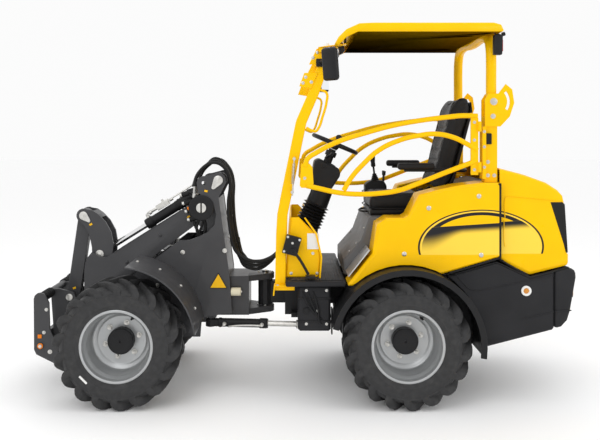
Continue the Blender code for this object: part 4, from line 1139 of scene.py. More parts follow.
@dataclass
class Cushions:
    """The padded seat: both pads are blown up as cloth and then sewn into channels."""

    voxel: float = 0.007
    frames: int = 18
    most: float = 0.016

    def inflated(self, name: str, mesh: bpy.types.Mesh) -> bpy.types.Mesh:
        """Blows up a closed shape with Cloth pressure, each point moving no further than the cap.

        Args:
            name: the pad's name.
            mesh: its closed starting shape.

        Returns:
            The swollen mesh.
        """
        holder = bpy.data.objects.new(f"{name}_form", mesh)
        bpy.context.scene.collection.objects.link(holder)
        remesh = holder.modifiers.new("Even faces", "REMESH")
        remesh.mode = "VOXEL"
        remesh.voxel_size = self.voxel
        graph = bpy.context.evaluated_depsgraph_get()
        even = bpy.data.meshes.new_from_object(holder.evaluated_get(graph))
        holder.modifiers.clear()
        holder.data = even
        start = [vert.co.copy() for vert in even.vertices]
        cloth = holder.modifiers.new("Cloth", "CLOTH")
        cloth.settings.use_pressure = True
        cloth.settings.uniform_pressure_force = 4.0
        cloth.settings.effector_weights.gravity = 0.0
        cloth.settings.quality = 5
        cloth.settings.mass = 0.3
        cloth.settings.tension_stiffness = cloth.settings.compression_stiffness = 15.0
        cloth.settings.bending_stiffness = 0.6
        for number in range(1, self.frames + 1):
            bpy.context.scene.frame_set(number)
        graph = bpy.context.evaluated_depsgraph_get()
        blown = bpy.data.meshes.new_from_object(holder.evaluated_get(graph))
        bpy.context.scene.frame_set(1)
        for vert, old in zip(blown.vertices, start):
            move = vert.co - old
            if move.length > self.most:
                vert.co = old + move * (self.most / move.length)
        bpy.data.objects.remove(holder)
        return blown

    def sewn(self, mesh: bpy.types.Mesh, depth: Callable[[Vector], Vector]) -> None:
        """Draws the cover in along its seams by moving each point by depth(point)."""
        for vert in mesh.vertices:
            vert.co += depth(vert.co)

    def pad(self, name: str, node: str, work: Workpiece, depth: Callable[[Vector], Vector]) -> None:
        """One finished pad in place of its CAD solid.

        Args:
            name: the pad's name.
            node: the CAD node it stands for.
            work: its starting shape.
            depth: how far each point is drawn in by the seams.
        """
        form = bpy.data.meshes.new(f"{name}_form")
        work.bm.to_mesh(form)
        work.bm.free()
        mesh = self.inflated(name, form)
        self.sewn(mesh, depth)
        piece = placed(bpy.data.objects.new(name, mesh), BODY_OF[node], Look.VINYL, 180)
        smooth = piece.modifiers.new("Even cover", "SMOOTH")
        smooth.factor = 0.5
        smooth.iterations = 2
        finer = piece.modifiers.new("Finer", "SUBSURF")
        finer.levels = finer.render_levels = 1
        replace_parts(piece, node)

    def build(self) -> None:
        """Makes the cushion, the backrest, their piping and the seat's shell."""
        low, high = (Vector(corner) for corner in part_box("seat_cushion"))
        work = Workpiece()
        work.block((low.x + 0.010, low.y + 0.012, low.z + 0.030),
                   (high.x - 0.004, high.y - 0.012, high.z - 0.016), 0.034, 4)
        middle_x = (low.x + high.x) / 2

        def cushion_seams(point: Vector) -> Vector:
            """Cross channels and two long seams on top, and a dip where one sits."""
            on_top = max(0.0, min(1.0, (point.z - (high.z - 0.05)) / 0.03))
            across = sum(math.exp(-(((point.x - x) / 0.006) ** 2)) for x in
                         (low.x + 0.085, low.x + 0.150, low.x + 0.215, low.x + 0.280))
            across *= 1.0 if abs(point.y) < 0.150 else 0.0
            along = math.exp(-(((abs(point.y) - 0.152) / 0.006) ** 2))
            dip = 0.010 * math.exp(-((point.y / 0.11) ** 2) - (((point.x - middle_x) / 0.13) ** 2))
            return Vector((0, 0, -(0.008 * (across + along) + dip) * on_top))

        self.pad("seat_cushion_pad", "seat_cushion", work, cushion_seams)
        low_b, high_b = (Vector(corner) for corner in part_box("seat_backrest"))
        work = Workpiece()
        outline = [(0.822, 1.250), (0.905, 1.250), (0.948, 1.335), (1.062, 1.757), (1.054, 1.832),
                   (1.006, 1.836), (0.974, 1.776), (0.866, 1.352)]
        work.plate(outline, low_b.y + 0.014, high_b.y - 0.014, 0.026, 3)

        def back_seams(point: Vector) -> Vector:
            """Cross channels on the front and two long seams that set off the side bolsters."""
            front = 0.850 + (point.z - 1.350) * 0.256 + 0.035
            facing = max(0.0, min(1.0, (front - point.x) / 0.02))
            rows = sum(math.exp(-(((point.z - z) / 0.007) ** 2)) for z in (1.36, 1.43, 1.50, 1.57, 1.64,
                                                                           1.71))
            rows *= 1.0 if abs(point.y) < 0.138 else 0.0
            sides = math.exp(-(((abs(point.y) - 0.140) / 0.006) ** 2))
            hollow = 0.012 * math.exp(-((point.y / 0.10) ** 2))
            return Vector((1, 0, -0.25)) * (0.008 * (rows + sides) + hollow) * facing

        self.pad("seat_back_pad", "seat_backrest", work, back_seams)
        piping = Workpiece()
        top, edge = high.z - 0.012, 0.020
        for z in (top, low.z + 0.045):
            ring = [(low.x + edge, low.y + 0.05, z), (low.x + 0.006, 0, z),
                    (low.x + edge, high.y - 0.05, z),
                    (low.x + 0.06, high.y - 0.008, z), (middle_x, high.y - 0.002, z),
                    (high.x - 0.04, high.y - 0.012, z),
                    (high.x - 0.004, high.y - 0.06, z), (high.x - 0.002, 0, z),
                    (high.x - 0.004, low.y + 0.06, z),
                    (high.x - 0.04, low.y + 0.012, z), (middle_x, low.y + 0.002, z),
                    (low.x + 0.06, low.y + 0.008, z), (low.x + edge, low.y + 0.05, z)]
            piping.tube(ring, 0.0032, 8)
        piping.done("seat_piping", "rear_frame", Look.PLASTIC)
        shell = Workpiece()
        shell.block((low.x + 0.020, low.y + 0.020, low.z + 0.0005),
                    (high.x + 0.060, high.y - 0.020, low.z + 0.036), 0.012, 3)
        shell.block((0.455, -0.170, 1.0855), (0.760, -0.130, 1.0965), 0.002)
        shell.plate([(0.905, 1.160), (0.975, 1.320), (1.084, 1.735), (1.076, 1.800), (1.070, 1.740),
                     (0.960, 1.335), (0.890, 1.180)], -0.190, 0.190, 0.003, 2)
        for side in Side:
            shell.bar((0.800, side.y(0.236), 1.168), (0.900, side.y(0.236), 1.230), 0.011, sides=20,
                      edge=0.002)
            shell.bar((0.838, side.y(0.226), 1.196), (0.838, side.y(0.252), 1.196), 0.026, sides=36,
                      edge=0.004)
        shell.tube([(0.430, -0.100, 1.100), (0.405, -0.080, 1.098), (0.405, 0.080, 1.098),
                    (0.430, 0.100, 1.100)],
                   0.006, 10)
        shell.done("seat_shell", "rear_frame", Look.PLASTIC)


@dataclass
class Station:
    """Everything round the operator: floor, cowl, column, console and armrests."""

    hub: tuple[float, float, float] = (0.223, 0.0, 1.520)
    tilt: float = 23.0
    rim: float = 0.150

    def floor(self) -> None:
        """The floor, its ribbed mat, the seat's risers and the kick strips."""
        refined("floor_plate", Look.SHELL, 0.004)
        mat = Workpiece().block((-0.060, -0.470, 0.7302), (0.250, 0.470, 0.7345), 0.0015)
        mat.done("floor_mat", "rear_frame", Look.MAT)
        refined("seat_box", Look.STEP_GREY, 0.003)
        for side in Side:
            low, high = side.span(0.3080, 0.4960)
            strip = Workpiece().plate([(0.279, 0.756), (0.404, 0.912), (0.398, 0.917), (0.273, 0.761)], low,
                                      high, 0.001, 1)
            strip.done(f"kick_strip_{side.word}", "rear_frame", Look.KICK)
        trim = Workpiece()
        for x, z, dx, dz in ((0.300, 0.866, -0.752, 0.659), (0.345, 0.918, -0.752, 0.659),
                             (0.392, 1.010, -0.940, 0.340)):
            for y in (-0.250, 0.250):
                trim.bolt((x, y, z), (dx, 0, dz), 0.006)
        trim.done("riser_screws", "rear_frame", Look.ZINC)

    def cowl(self) -> None:
        """The yellow cowl with its flanges, its blank plate and its screws."""
        refined("front_cowl", Look.PLAIN_YELLOW, 0.003)
        plate = Workpiece().block((0.036, -0.4062, 0.905), (0.106, -0.4042, 1.000), 0.0008, 1)
        plate.done("blank_plate", "rear_frame", Look.WHITE)
        work = Workpiece()
        for side in Side:
            low, high = side.span(0.404, 0.424)
            work.plate([(0.106, 0.7345), (0.1165, 0.7345), (0.1265, 0.860), (0.0945, 1.002), (0.024, 1.098),
                        (0.018, 1.092), (0.0845, 0.998), (0.1160, 0.860)], low, high, 0.0015, 1)
        work.done("cowl_flanges", "rear_frame", Look.PLAIN_YELLOW)
        bolts = Workpiece()
        for side in Side:
            for x, z in ((0.040, 0.760), (0.095, 0.760), (0.070, 0.880), (-0.060, 0.760)):
                bolts.bolt((x, side.y(0.404), z), (0, side.y(1), 0), 0.0065)
        bolts.done("cowl_screws", "rear_frame", Look.ZINC)

    def control_box(self) -> None:
        """The pedal unit outside the cowl: box, screws, arm and foot pad."""
        low, high = (Vector(corner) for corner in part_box("control_box"))
        middle = (low + high) / 2
        half = Vector((0.046, (high.y - low.y) / 2, 0.056))
        lean = Matrix.Rotation(math.radians(15), 4, "Y")
        work = Workpiece().block(middle - half, middle + half, 0.004, 2, lean)
        work.bar((middle.x + 0.010, low.y - 0.012, middle.z - 0.030),
                 (middle.x + 0.010, low.y + 0.004, middle.z - 0.030), 0.016, sides=28, edge=0.002)
        work.tube([(middle.x + 0.010, low.y - 0.008, middle.z - 0.030),
                   (middle.x + 0.050, low.y - 0.008, 0.850),
                   (middle.x + 0.098, low.y - 0.004, 0.766)], 0.0085, 12)
        work.block((middle.x + 0.080, low.y - 0.030, 0.746), (middle.x + 0.140, low.y + 0.036, 0.758),
                   0.003, 2)
        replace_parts(work.done("pedal_unit", "rear_frame", Look.PLASTIC), "control_box")
        screws = Workpiece()
        for dx, dz in ((-0.036, -0.044), (-0.036, 0.044), (0.036, -0.044), (0.036, 0.044), (0.0, 0.015)):
            spot = lean @ Vector((dx, 0, dz))
            screws.bolt((middle.x + spot.x, low.y, middle.z + spot.z), (0, -1, 0), 0.005)
        screws.done("pedal_screws", "rear_frame", Look.ZINC)

    def column(self) -> None:
        """The steering column: pleated boot, cover, console, head and levers."""
        lean = Vector((math.sin(math.radians(self.tilt)), 0, math.cos(math.radians(self.tilt))))
        foot = Vector((0.045, 0, 0.990))
        steps = [(0.150 * i / 14, 0.088 if i % 2 else 0.073 - 0.0006 * i) for i in range(15)]
        work = Workpiece().turned([(-0.030, 0.0), (-0.030, 0.086), *[(a + 0.012, r) for a, r in steps],
                                   (0.166, 0.066), (0.166, 0.0)], foot, lean, 48, False)
        work.bar(foot + lean * 0.160, foot + lean * 0.285, 0.073, 0.066, 48, 0.004)
        outline = [(0.060, 1.262), (0.196, 1.235), (0.258, 1.330), (0.250, 1.372), (0.122, 1.438),
                   (0.090, 1.425)]
        work.plate(outline, -0.105, 0.105, 0.014, 3)
        work.bar(Vector(self.hub) - lean * 0.150, Vector(self.hub) - lean * 0.026, 0.029, 0.024, 36, 0.002)
        work.bar(Vector(self.hub) - lean * 0.075, Vector(self.hub) - lean * 0.040, 0.037, sides=36,
                 edge=0.004)
        work.bar((0.150, -0.108, 1.395), (0.150, 0.108, 1.395), 0.017, sides=28, edge=0.003)
        for side in Side:
            start = (0.165, side.y(0.030), 1.440)
            work.tube([start, (0.190, side.y(0.080), 1.462), (0.200, side.y(0.125), 1.470)], 0.0055, 10)
            work.bar((0.200, side.y(0.122), 1.470), (0.203, side.y(0.150), 1.474), 0.0095, sides=20,
                     edge=0.003)
        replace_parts(work.done("column_cover", "rear_frame", Look.PLASTIC, 32), "steering_column")
        dial = Workpiece()
        face = Vector((0.186, 0, 1.406))
        normal = Vector((0.455, 0, 0.890))
        dial.turned([(0.0, 0.0), (0.003, 0.0), (0.003, 0.026), (0.006, 0.030), (0.0, 0.033)],
                    face - normal * 0.001, normal, 40, False)
        for y in (-0.062, 0.062):
            for shift in (-0.016, 0.006, 0.028):
                spot = Vector((0.190 + shift, y, 1.4035 - shift * 0.51))
                dial.block(spot - Vector((0.008, 0.012, 0.004)), spot + Vector((0.008, 0.012, 0.004)),
                           0.0015, 1, Matrix.Rotation(math.radians(27), 4, "Y"))
        dial.done("console_switches", "rear_frame", Look.HOSE)
        cable = Workpiece().tube([(0.092, -0.104, 1.300), (0.070, -0.130, 1.240), (0.040, -0.120, 1.150),
                                  (0.010, -0.080, 1.105)], 0.004, 8)
        cable.done("column_cable", "rear_frame", Look.HOSE)

    def wheel(self) -> None:
        """The steering wheel with its spokes, hub cap and spinner knob."""
        lean = Vector((math.sin(math.radians(self.tilt)), 0, math.cos(math.radians(self.tilt))))
        hub = Vector(self.hub)
        centre = hub + lean * 0.012
        ring = [(0.0135 * math.sin(math.tau * i / 16), self.rim + 0.0135 * math.cos(math.tau * i / 16))
                for i in range(16)]
        work = Workpiece().turned(ring, centre, lean, 72)
        work.turned([(-0.024, 0.0), (-0.024, 0.026), (0.000, 0.036), (0.014, 0.034), (0.022, 0.026),
                     (0.024, 0.0)],
                    hub, lean, 44, False)
        for place in circle(centre, lean, self.rim - 0.004, 3, 30):
            inner = hub + (place - centre).normalized() * 0.020 + lean * 0.004
            work.tube([inner, (inner + place) / 2 + lean * 0.001, place], 0.0085, 12)
        knob = centre - ACROSS * self.rim
        work.bar(knob, knob + lean * 0.034, 0.0070, sides=20)
        work.turned([(0.028, 0.0), (0.028, 0.012), (0.034, 0.020), (0.046, 0.0225), (0.056, 0.019),
                     (0.062, 0.010), (0.063, 0.0)], knob, lean, 32, False)
        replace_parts(work.done("steering_wheel_rim", "steering_wheel", Look.PLASTIC, 40), "steering_wheel")

    def armrests(self) -> None:
        """The armrest pads on their bar."""
        work = Workpiece()
        bar = [(0.780, -0.262, 1.374), (0.960, -0.262, 1.372), (1.012, -0.246, 1.370),
               (1.032, -0.190, 1.370),
               (1.034, 0.0, 1.370), (1.032, 0.190, 1.370), (1.012, 0.246, 1.370), (0.960, 0.262, 1.372),
               (0.780, 0.262, 1.374)]
        work.tube(bar, 0.0125, 16)
        for side in Side:
            work.block((0.600, *side.span(0.238, 0.286)[:1], 1.374),
                       (0.830, side.span(0.238, 0.286)[1], 1.416), 0.016, 4)
            work.block((0.640, side.span(0.250, 0.274)[0], 1.362),
                       (0.800, side.span(0.250, 0.274)[1], 1.378), 0.004)
        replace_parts(work.done("armrest_pads", "rear_frame", Look.PLASTIC), "armrests")

    def console(self) -> None:
        """The lever console: housing, boots, joystick and small levers."""
        low, high = (Vector(corner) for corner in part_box("joystick_console"))
        work = Workpiece()
        work.plate([(0.458, 1.103), (0.612, 1.103), (0.612, 1.235), (0.590, 1.268), (0.492, 1.268),
                    (0.458, 1.240)],
                   low.y, high.y, 0.012, 3)
        foot = Vector((0.535, 0.368, 1.264))
        pleats = [(0.006 * i, 0.034 - 0.0022 * i - (0.005 if i % 2 else 0.0)) for i in range(10)]
        work.turned([(-0.002, 0.0), *pleats, (0.060, 0.0)], foot, (-0.11, 0, 0.99), 36, False)
        work.tube([foot, foot + Vector((-0.008, 0, 0.070)), foot + Vector((-0.015, 0, 0.125))], 0.0070, 12)
        grip = [(0.0, 0.0), (0.0, 0.013), (0.010, 0.0165), (0.030, 0.0150), (0.052, 0.0180),
                (0.072, 0.0200), (0.082, 0.0160), (0.086, 0.0080), (0.086, 0.0)]
        work.turned(grip, foot + Vector((-0.012, 0, 0.100)), (-0.11, 0, 0.99), 32, False)
        for shift in (-0.030, 0.030):
            start = Vector((0.592, 0.368 + shift, 1.258))
            work.bar(start, start + Vector((0.004, 0, 0.052)), 0.0040, sides=12)
            work.bar(start + Vector((0.004, 0, 0.046)), start + Vector((0.006, 0, 0.078)), 0.0085, 0.0105,
                     20, 0.003)
        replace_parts(work.done("lever_console", "rear_frame", Look.PLASTIC), "joystick_console")

    def under_floor(self) -> None:
        """The battery box, the tank and the small parts beside them."""
        for node in ("battery_box", "oil_tank"):
            refined(node, Look.SHELL, 0.003)
        work = Workpiece()
        low, high = (Vector(corner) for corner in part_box("battery_box"))
        for z in (low.z + 0.055, low.z + 0.190):
            work.block((low.x - 0.003, low.y - 0.004, z), (high.x + 0.003, low.y + 0.002, z + 0.012), 0.002)
        work.bar((low.x + 0.050, low.y - 0.010, low.z + 0.125),
                 (low.x + 0.050, low.y + 0.002, low.z + 0.125), 0.017, sides=28, edge=0.003)
        for i in range(3):
            work.tube([(0.000 + 0.030 * i, -0.440, 0.690), (0.020 + 0.030 * i, -0.462, 0.630),
                       (0.060 + 0.020 * i, -0.466, 0.560), (0.120, -0.452, 0.500 - 0.015 * i),
                       (0.178, -0.430, 0.470)], 0.0058, 10)
        work.block((0.178, -0.450, 0.405), (0.186, -0.400, 0.560), 0.002)
        work.done("side_box_fittings", "rear_frame", Look.PLASTIC)
        bright = Workpiece()
        for x, z in ((0.030, 0.470), (0.150, 0.470), (0.030, 0.668), (0.150, 0.668), (0.092, 0.545)):
            bright.bolt((x, low.y, z), (0, -1, 0), 0.006)
            bright.bolt((x, -low.y, z), (0, 1, 0), 0.006)
        bright.bar((0.060, 0.350, 0.6955), (0.060, 0.350, 0.6962), 0.030, sides=36)
        bright.done("side_box_screws", "rear_frame", Look.ZINC)

    def build(self) -> None:
        """Makes the whole station."""
        self.floor()
        self.cowl()
        self.control_box()
        self.column()
        self.wheel()
        self.armrests()
        self.console()
        self.under_floor()
        Cushions().build()


# Canopy, posts, guards and mirrors --------------------------------------------------


@dataclass
class Canopy:
    """The folding roof: its sheet, ribs, lamps and the hoop that carries it."""

    pivot: tuple[float, float] = (1.140, 1.788)
    hoop_y: float = 0.415
    hoop_top: float = 2.184

    def roof(self) -> None:
        """The roof sheet with its pressed ribs."""
        refined("canopy_roof", Look.PLAIN_YELLOW, 0.006, 3, 50)
        ribs = Workpiece()
        for y in (-0.36, -0.12, 0.12, 0.36):
            ribs.plate([(0.200, 2.128), (0.222, 2.166), (0.266, 2.2105), (0.338, 2.2425), (0.420, 2.2462),
                        (0.560, 2.2462), (0.600, 2.2430), (0.420, 2.2410), (0.340, 2.2360), (0.270, 2.2020),
                        (0.228, 2.1580), (0.206, 2.1240)], y - 0.018, y + 0.018, 0.0028, 2)
        ribs.done("roof_ribs", "canopy", Look.PLAIN_YELLOW, 60)
        bars = Workpiece()
        for x in (0.520, 0.900):
            bars.block((x - 0.020, -0.520, 2.2175), (x + 0.020, 0.520, 2.2315), 0.003, 2)
        bars.done("roof_stiffeners", "canopy", Look.PLAIN_YELLOW)

    def hoop(self) -> None:
        """The bent tube with its pivot bosses and clamp plates."""
        x, y, top = self.pivot[0] - 0.004, self.hoop_y, self.hoop_top
        route = [(x, -y, 1.770), (x, -y, 1.900), (x, -y, 2.050), (x, -y + 0.010, 2.112),
                 (x, -y + 0.040, 2.160),
                 (x, -y + 0.098, top), (x, 0, top), (x, y - 0.098, top), (x, y - 0.040, 2.160),
                 (x, y - 0.010, 2.112), (x, y, 2.050), (x, y, 1.900), (x, y, 1.770)]
        work = Workpiece().tube(route, 0.0305, 28)
        for side in Side:
            low, high = side.span(0.3855, 0.4445)
            work.bar((*self._at(low),), (*self._at(high),), 0.0398, sides=40, edge=0.003)
        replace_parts(work.done("hoop_tube", "canopy", Look.PLAIN_YELLOW), "rops_hoop")
        clamps = Workpiece()
        for side in Side:
            low, high = side.span(0.300, 0.350)
            clamps.block((x - 0.045, low, top + 0.022), (x + 0.036, high, top + 0.0340), 0.002)
            for shift in (-0.036,):
                clamps.bolt((x + shift, side.y(0.325), top + 0.022), (0, 0, -1), 0.008)
        clamps.done("hoop_clamps", "canopy", Look.ZINC)

    def _at(self, y: float) -> tuple[float, float, float]:
        """A point on the folding axis."""
        return self.pivot[0], y, self.pivot[1]

    def lamps(self) -> None:
        """Two work lamps under the front edge and a lamp with its plate at the rear."""
        bodies, lenses = Workpiece(), Workpiece()
        for side in Side:
            y = side.y(0.330)
            bodies.turned([(0.0, 0.0), (0.0, 0.022), (0.016, 0.038), (0.034, 0.042), (0.040, 0.042),
                           (0.040, 0.037),
                           (0.034, 0.036), (0.034, 0.0)], (0.262, y, 2.128), (-1, 0, -0.25), 40, False)
            bodies.block((0.262, y - 0.010, 2.138), (0.276, y + 0.010, 2.186), 0.002)
            lenses.turned([(0.0345, 0.0), (0.0345, 0.0355), (0.039, 0.030), (0.042, 0.0)],
                          (0.262, y, 2.128), (-1, 0, -0.25), 40, False)
        bodies.plate([(1.128, 2.060), (1.176, 2.060), (1.180, 2.176), (1.150, 2.186), (1.128, 2.176)],
                     -0.512, -0.470, 0.006, 3)
        bodies.bar((1.178, -0.491, 2.180), (1.196, -0.491, 2.186), 0.012, sides=24, edge=0.003)
        bodies.tube([(1.150, -0.480, 2.180), (1.120, -0.470, 2.205), (1.000, -0.460, 2.214),
                     (0.700, -0.470, 2.216)],
                    0.0035, 8)
        bodies.done("lamp_bodies", "canopy", Look.PLASTIC)
        lenses.done("lamp_lenses", "canopy", Look.LENS)
        red = Workpiece().block((1.1755, -0.506, 2.080), (1.1820, -0.476, 2.150), 0.003, 2)
        red.done("lamp_red", "canopy", Look.RED)

    def build(self) -> None:
        """Makes the whole canopy."""
        self.roof()
        self.hoop()
        self.lamps()


@dataclass
class Posts:
    """The front posts with their brackets and handles, and the fixed rear posts."""

    def front(self) -> None:
        """Front posts, roof brackets, foot brackets and grab handles."""
        brackets, bolts, handles = Workpiece(), Workpiece(), Workpiece()
        for side in Side:
            refined(f"front_post_{side.word}", Look.PLAIN_YELLOW, 0.002)
            out = (0, side.y(1), 0)
            low, high = side.span(0.4305, 0.4365)
            brackets.plate([(0.046, 2.010), (0.110, 2.010), (0.150, 2.100), (0.092, 2.104)], low, high,
                           0.001, 1)
            brackets.plate([(-0.012, 1.880), (0.060, 1.868), (0.098, 1.960), (0.018, 1.960)], low, high,
                           0.001, 1)
            low, high = side.span(0.4050, 0.4700)
            brackets.plate([(0.100, 2.104), (0.268, 2.126), (0.266, 2.132), (0.100, 2.110)], low, high,
                           0.001, 1)
            brackets.plate([(-0.168, 0.640), (-0.162, 0.700), (-0.040, 0.700), (-0.040, 0.694),
                            (-0.156, 0.694), (-0.160, 0.640)], *side.span(0.400, 0.470), 0.001, 1)
            for x, z in ((0.070, 2.050), (0.096, 2.082), (0.026, 1.935), (0.010, 1.900), (0.060, 1.905)):
                bolts.bolt((x, side.y(0.4365), z), out, 0.0070)
            for x in (-0.140, -0.060):
                bolts.bolt((x, side.y(0.460), 0.7000), (0, 0, 1), 0.0070)
            y = side.y(0.417)
            handles.tube([(0.110, y, 1.860), (0.136, y, 1.853), (0.153, y, 1.838), (0.152, y, 1.790),
                          (0.128, y, 1.700),
                          (0.100, y, 1.625), (0.086, y, 1.612), (0.060, y, 1.618), (0.030, y, 1.634)],
                         0.0078, 16)
        brackets.done("post_brackets", "rear_frame", Look.PLAIN_YELLOW)
        bolts.done("post_bolts", "rear_frame", Look.ZINC)
        handles.done("grab_handles", "rear_frame", Look.PLAIN_YELLOW)
        dome = Workpiece().turned([(0.0, 0.0), (0.0, 0.020), (0.012, 0.019), (0.024, 0.013), (0.029, 0.0)],
                                  (0.150, -0.440, 2.112), (0, 0, 1), 36, False)
        dome.done("side_lamp_dome", "rear_frame", Look.LENS)
        cable = Workpiece().tube([(0.170, -0.440, 2.114), (0.200, -0.455, 2.118), (0.222, -0.474, 2.108)],
                                 0.003, 8)
        cable.done("side_lamp_cable", "rear_frame", Look.HOSE)

    def latch(self) -> None:
        """The spring catches that hold the guards at the front posts."""
        work = Workpiece()
        for side in Side:
            y = side.y(0.452)
            work.coil((-0.052, y, 1.300), (-0.044, y, 1.420), 0.0085, 0.0019, 14)
            work.bar((-0.053, y, 1.230), (-0.041, y, 1.460), 0.0040, sides=12)
            work.bar((-0.054, side.y(0.4305), 1.250), (-0.054, side.y(0.456), 1.250), 0.0095, sides=20,
                     edge=0.002)
            work.bar((-0.042, side.y(0.4305), 1.448), (-0.042, side.y(0.456), 1.448), 0.0095, sides=20,
                     edge=0.002)
        work.done("guard_catches", "rear_frame", Look.ZINC)

    def rear(self) -> None:
        """Fixed rear posts, with their pivot and lock bolts and rubber buffers."""
        bolts, rubber = Workpiece(), Workpiece()
        for side in Side:
            refined(f"rops_post_{side.word}", Look.PLAIN_YELLOW, 0.002)
            out = (0, side.y(1), 0)
            bolts.bolt((1.140, side.y(0.457), 1.788), out, 0.0150)
            bolts.bolt((1.136, side.y(0.457), 1.701), out, 0.0105)
            for x, z in ((1.108, 1.350), (1.146, 1.350), (1.108, 1.430)):
                bolts.bolt((x, side.y(0.447), z), out, 0.0080)
            for z in (1.400, 1.520, 1.610):
                bolts.bolt((1.081, side.y(0.470), z), out, 0.0062)
            low, high = side.span(0.4475, 0.462)
            rubber.block((1.092, low, 1.535), (1.128, high, 1.600), 0.005, 3)
        bolts.done("rear_post_bolts", "rear_frame", Look.ZINC)
        rubber.done("rear_post_buffers", "rear_frame", Look.HOSE)

    def build(self) -> None:
        """Makes all posts."""
        self.front()
        self.latch()
        self.rear()


@dataclass
class SideGuard:
    """One gate of bent tubes beside the operator."""

    side: Side
    distance: float = 0.470
    tube: float = 0.0150

    def build(self) -> None:
        """Makes the gate's tubes, its plates and its hinges."""
        y = self.side.y(self.distance)
        top = [(1.040, 1.702), (0.950, 1.704), (0.900, 1.700), (0.583, 1.655), (0.385, 1.604),
               (0.204, 1.545), (0.090, 1.486), (0.036, 1.448), (0.022, 1.404)]
        bottom = [(0.030, 1.290), (0.110, 1.273), (0.204, 1.252), (0.317, 1.241), (0.476, 1.247),
                  (0.583, 1.265), (0.665, 1.294), (0.838, 1.363), (1.040, 1.440)]
        middle = [(0.250, 1.262), (0.295, 1.338), (0.363, 1.415), (0.453, 1.497), (0.583, 1.560),
                  (0.689, 1.586), (0.795, 1.596), (0.900, 1.575), (0.973, 1.540), (1.040, 1.500)]
        work = Workpiece()
        for route in (top, bottom, middle):
            work.tube([(x, y, z) for x, z in route], self.tube, 20)
        low, high = self.side.span(0.4615, 0.4785)
        front = [(-0.010, 1.292), (0.000, 1.278), (0.060, 1.278), (0.072, 1.300), (0.066, 1.400),
                 (0.050, 1.420), (0.000, 1.420)]
        work.plate(front, low, high, 0.003, 3)
        work.plate([(1.000, 1.354), (1.044, 1.354), (1.044, 1.690), (1.000, 1.722)], low, high, 0.002)
        for z in (1.400, 1.640):
            work.bar((1.050, self.side.y(0.482), z - 0.030), (1.050, self.side.y(0.482), z + 0.030), 0.0108,
                     sides=24, edge=0.001)
            work.block((1.036, self.side.span(0.466, 0.484)[0], z - 0.027),
                       (1.052, self.side.span(0.466, 0.484)[1], z + 0.027), 0.002)
        body = f"guard_{self.side.word}"
        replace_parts(work.done(f"gate_{self.side.word}", body, Look.PLAIN_YELLOW),
                    f"side_guard_{self.side.word}")
        bolts = Workpiece()
        for z in (1.385, 1.560, 1.665):
            bolts.bolt((1.020, self.side.y(0.4785), z), (0, self.side.y(1), 0), 0.0065)
        bolts.bolt((0.020, self.side.y(0.4785), 1.335), (0, self.side.y(1), 0), 0.0065)
        bolts.done(f"gate_bolts_{self.side.word}", body, Look.ZINC)


@dataclass
class Mirror:
    """A mirror on its jointed arm, turned in towards the operator."""

    side: Side
    turn: float = 42.0

    def build(self) -> None:
        """Makes the arm, the head and its glass."""
        low, high = (Vector(corner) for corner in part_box(f"mirror_{self.side.word}"))
        y = self.side.y
        work = Workpiece()
        arm = [(0.110, y(0.4395), 2.020), (0.118, y(0.470), 2.026), (0.140, y(0.510), 2.020),
               (0.160, y(0.545), 2.000)]
        work.tube(arm, 0.0090, 16)
        work.block((0.088, min(y(0.4306), y(0.446)), 1.996), (0.134, max(y(0.4306), y(0.446)), 2.044),
                   0.004, 3)
        work.bar((0.111, y(0.446), 2.020), (0.111, y(0.458), 2.020), 0.0150, sides=28, edge=0.003)
        inner, outer = self.side.span(0.497, 0.619)
        lean = Matrix.Rotation(math.radians(y(-self.turn)), 4, "Z") @ Matrix.Rotation(math.radians(-6), 4,
                                                                                      "Y")
        middle = Vector((0.166, (inner + outer) / 2, (low.z + high.z) / 2))
        half = Vector((0.024, 0.054, 0.096))
        work.block(middle - half, middle + half, 0.020, 5, lean)
        work.bar((0.140, y(0.548), 1.995), (0.170, y(0.548), 2.004), 0.0160, sides=28, edge=0.003)
        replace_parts(work.done(f"mirror_head_{self.side.word}", "rear_frame", Look.PLASTIC),
                    f"mirror_{self.side.word}")
        glass = Workpiece()
        face = middle + lean @ Vector((0.0245, 0, 0))
        glass.block(face - Vector((0.0010, 0.044, 0.080)), face + Vector((0.0012, 0.044, 0.080)), 0.0008, 1,
                    lean)
        glass.done(f"mirror_glass_{self.side.word}", "rear_frame", Look.GLASS)


# Tail -------------------------------------------------------------------------------


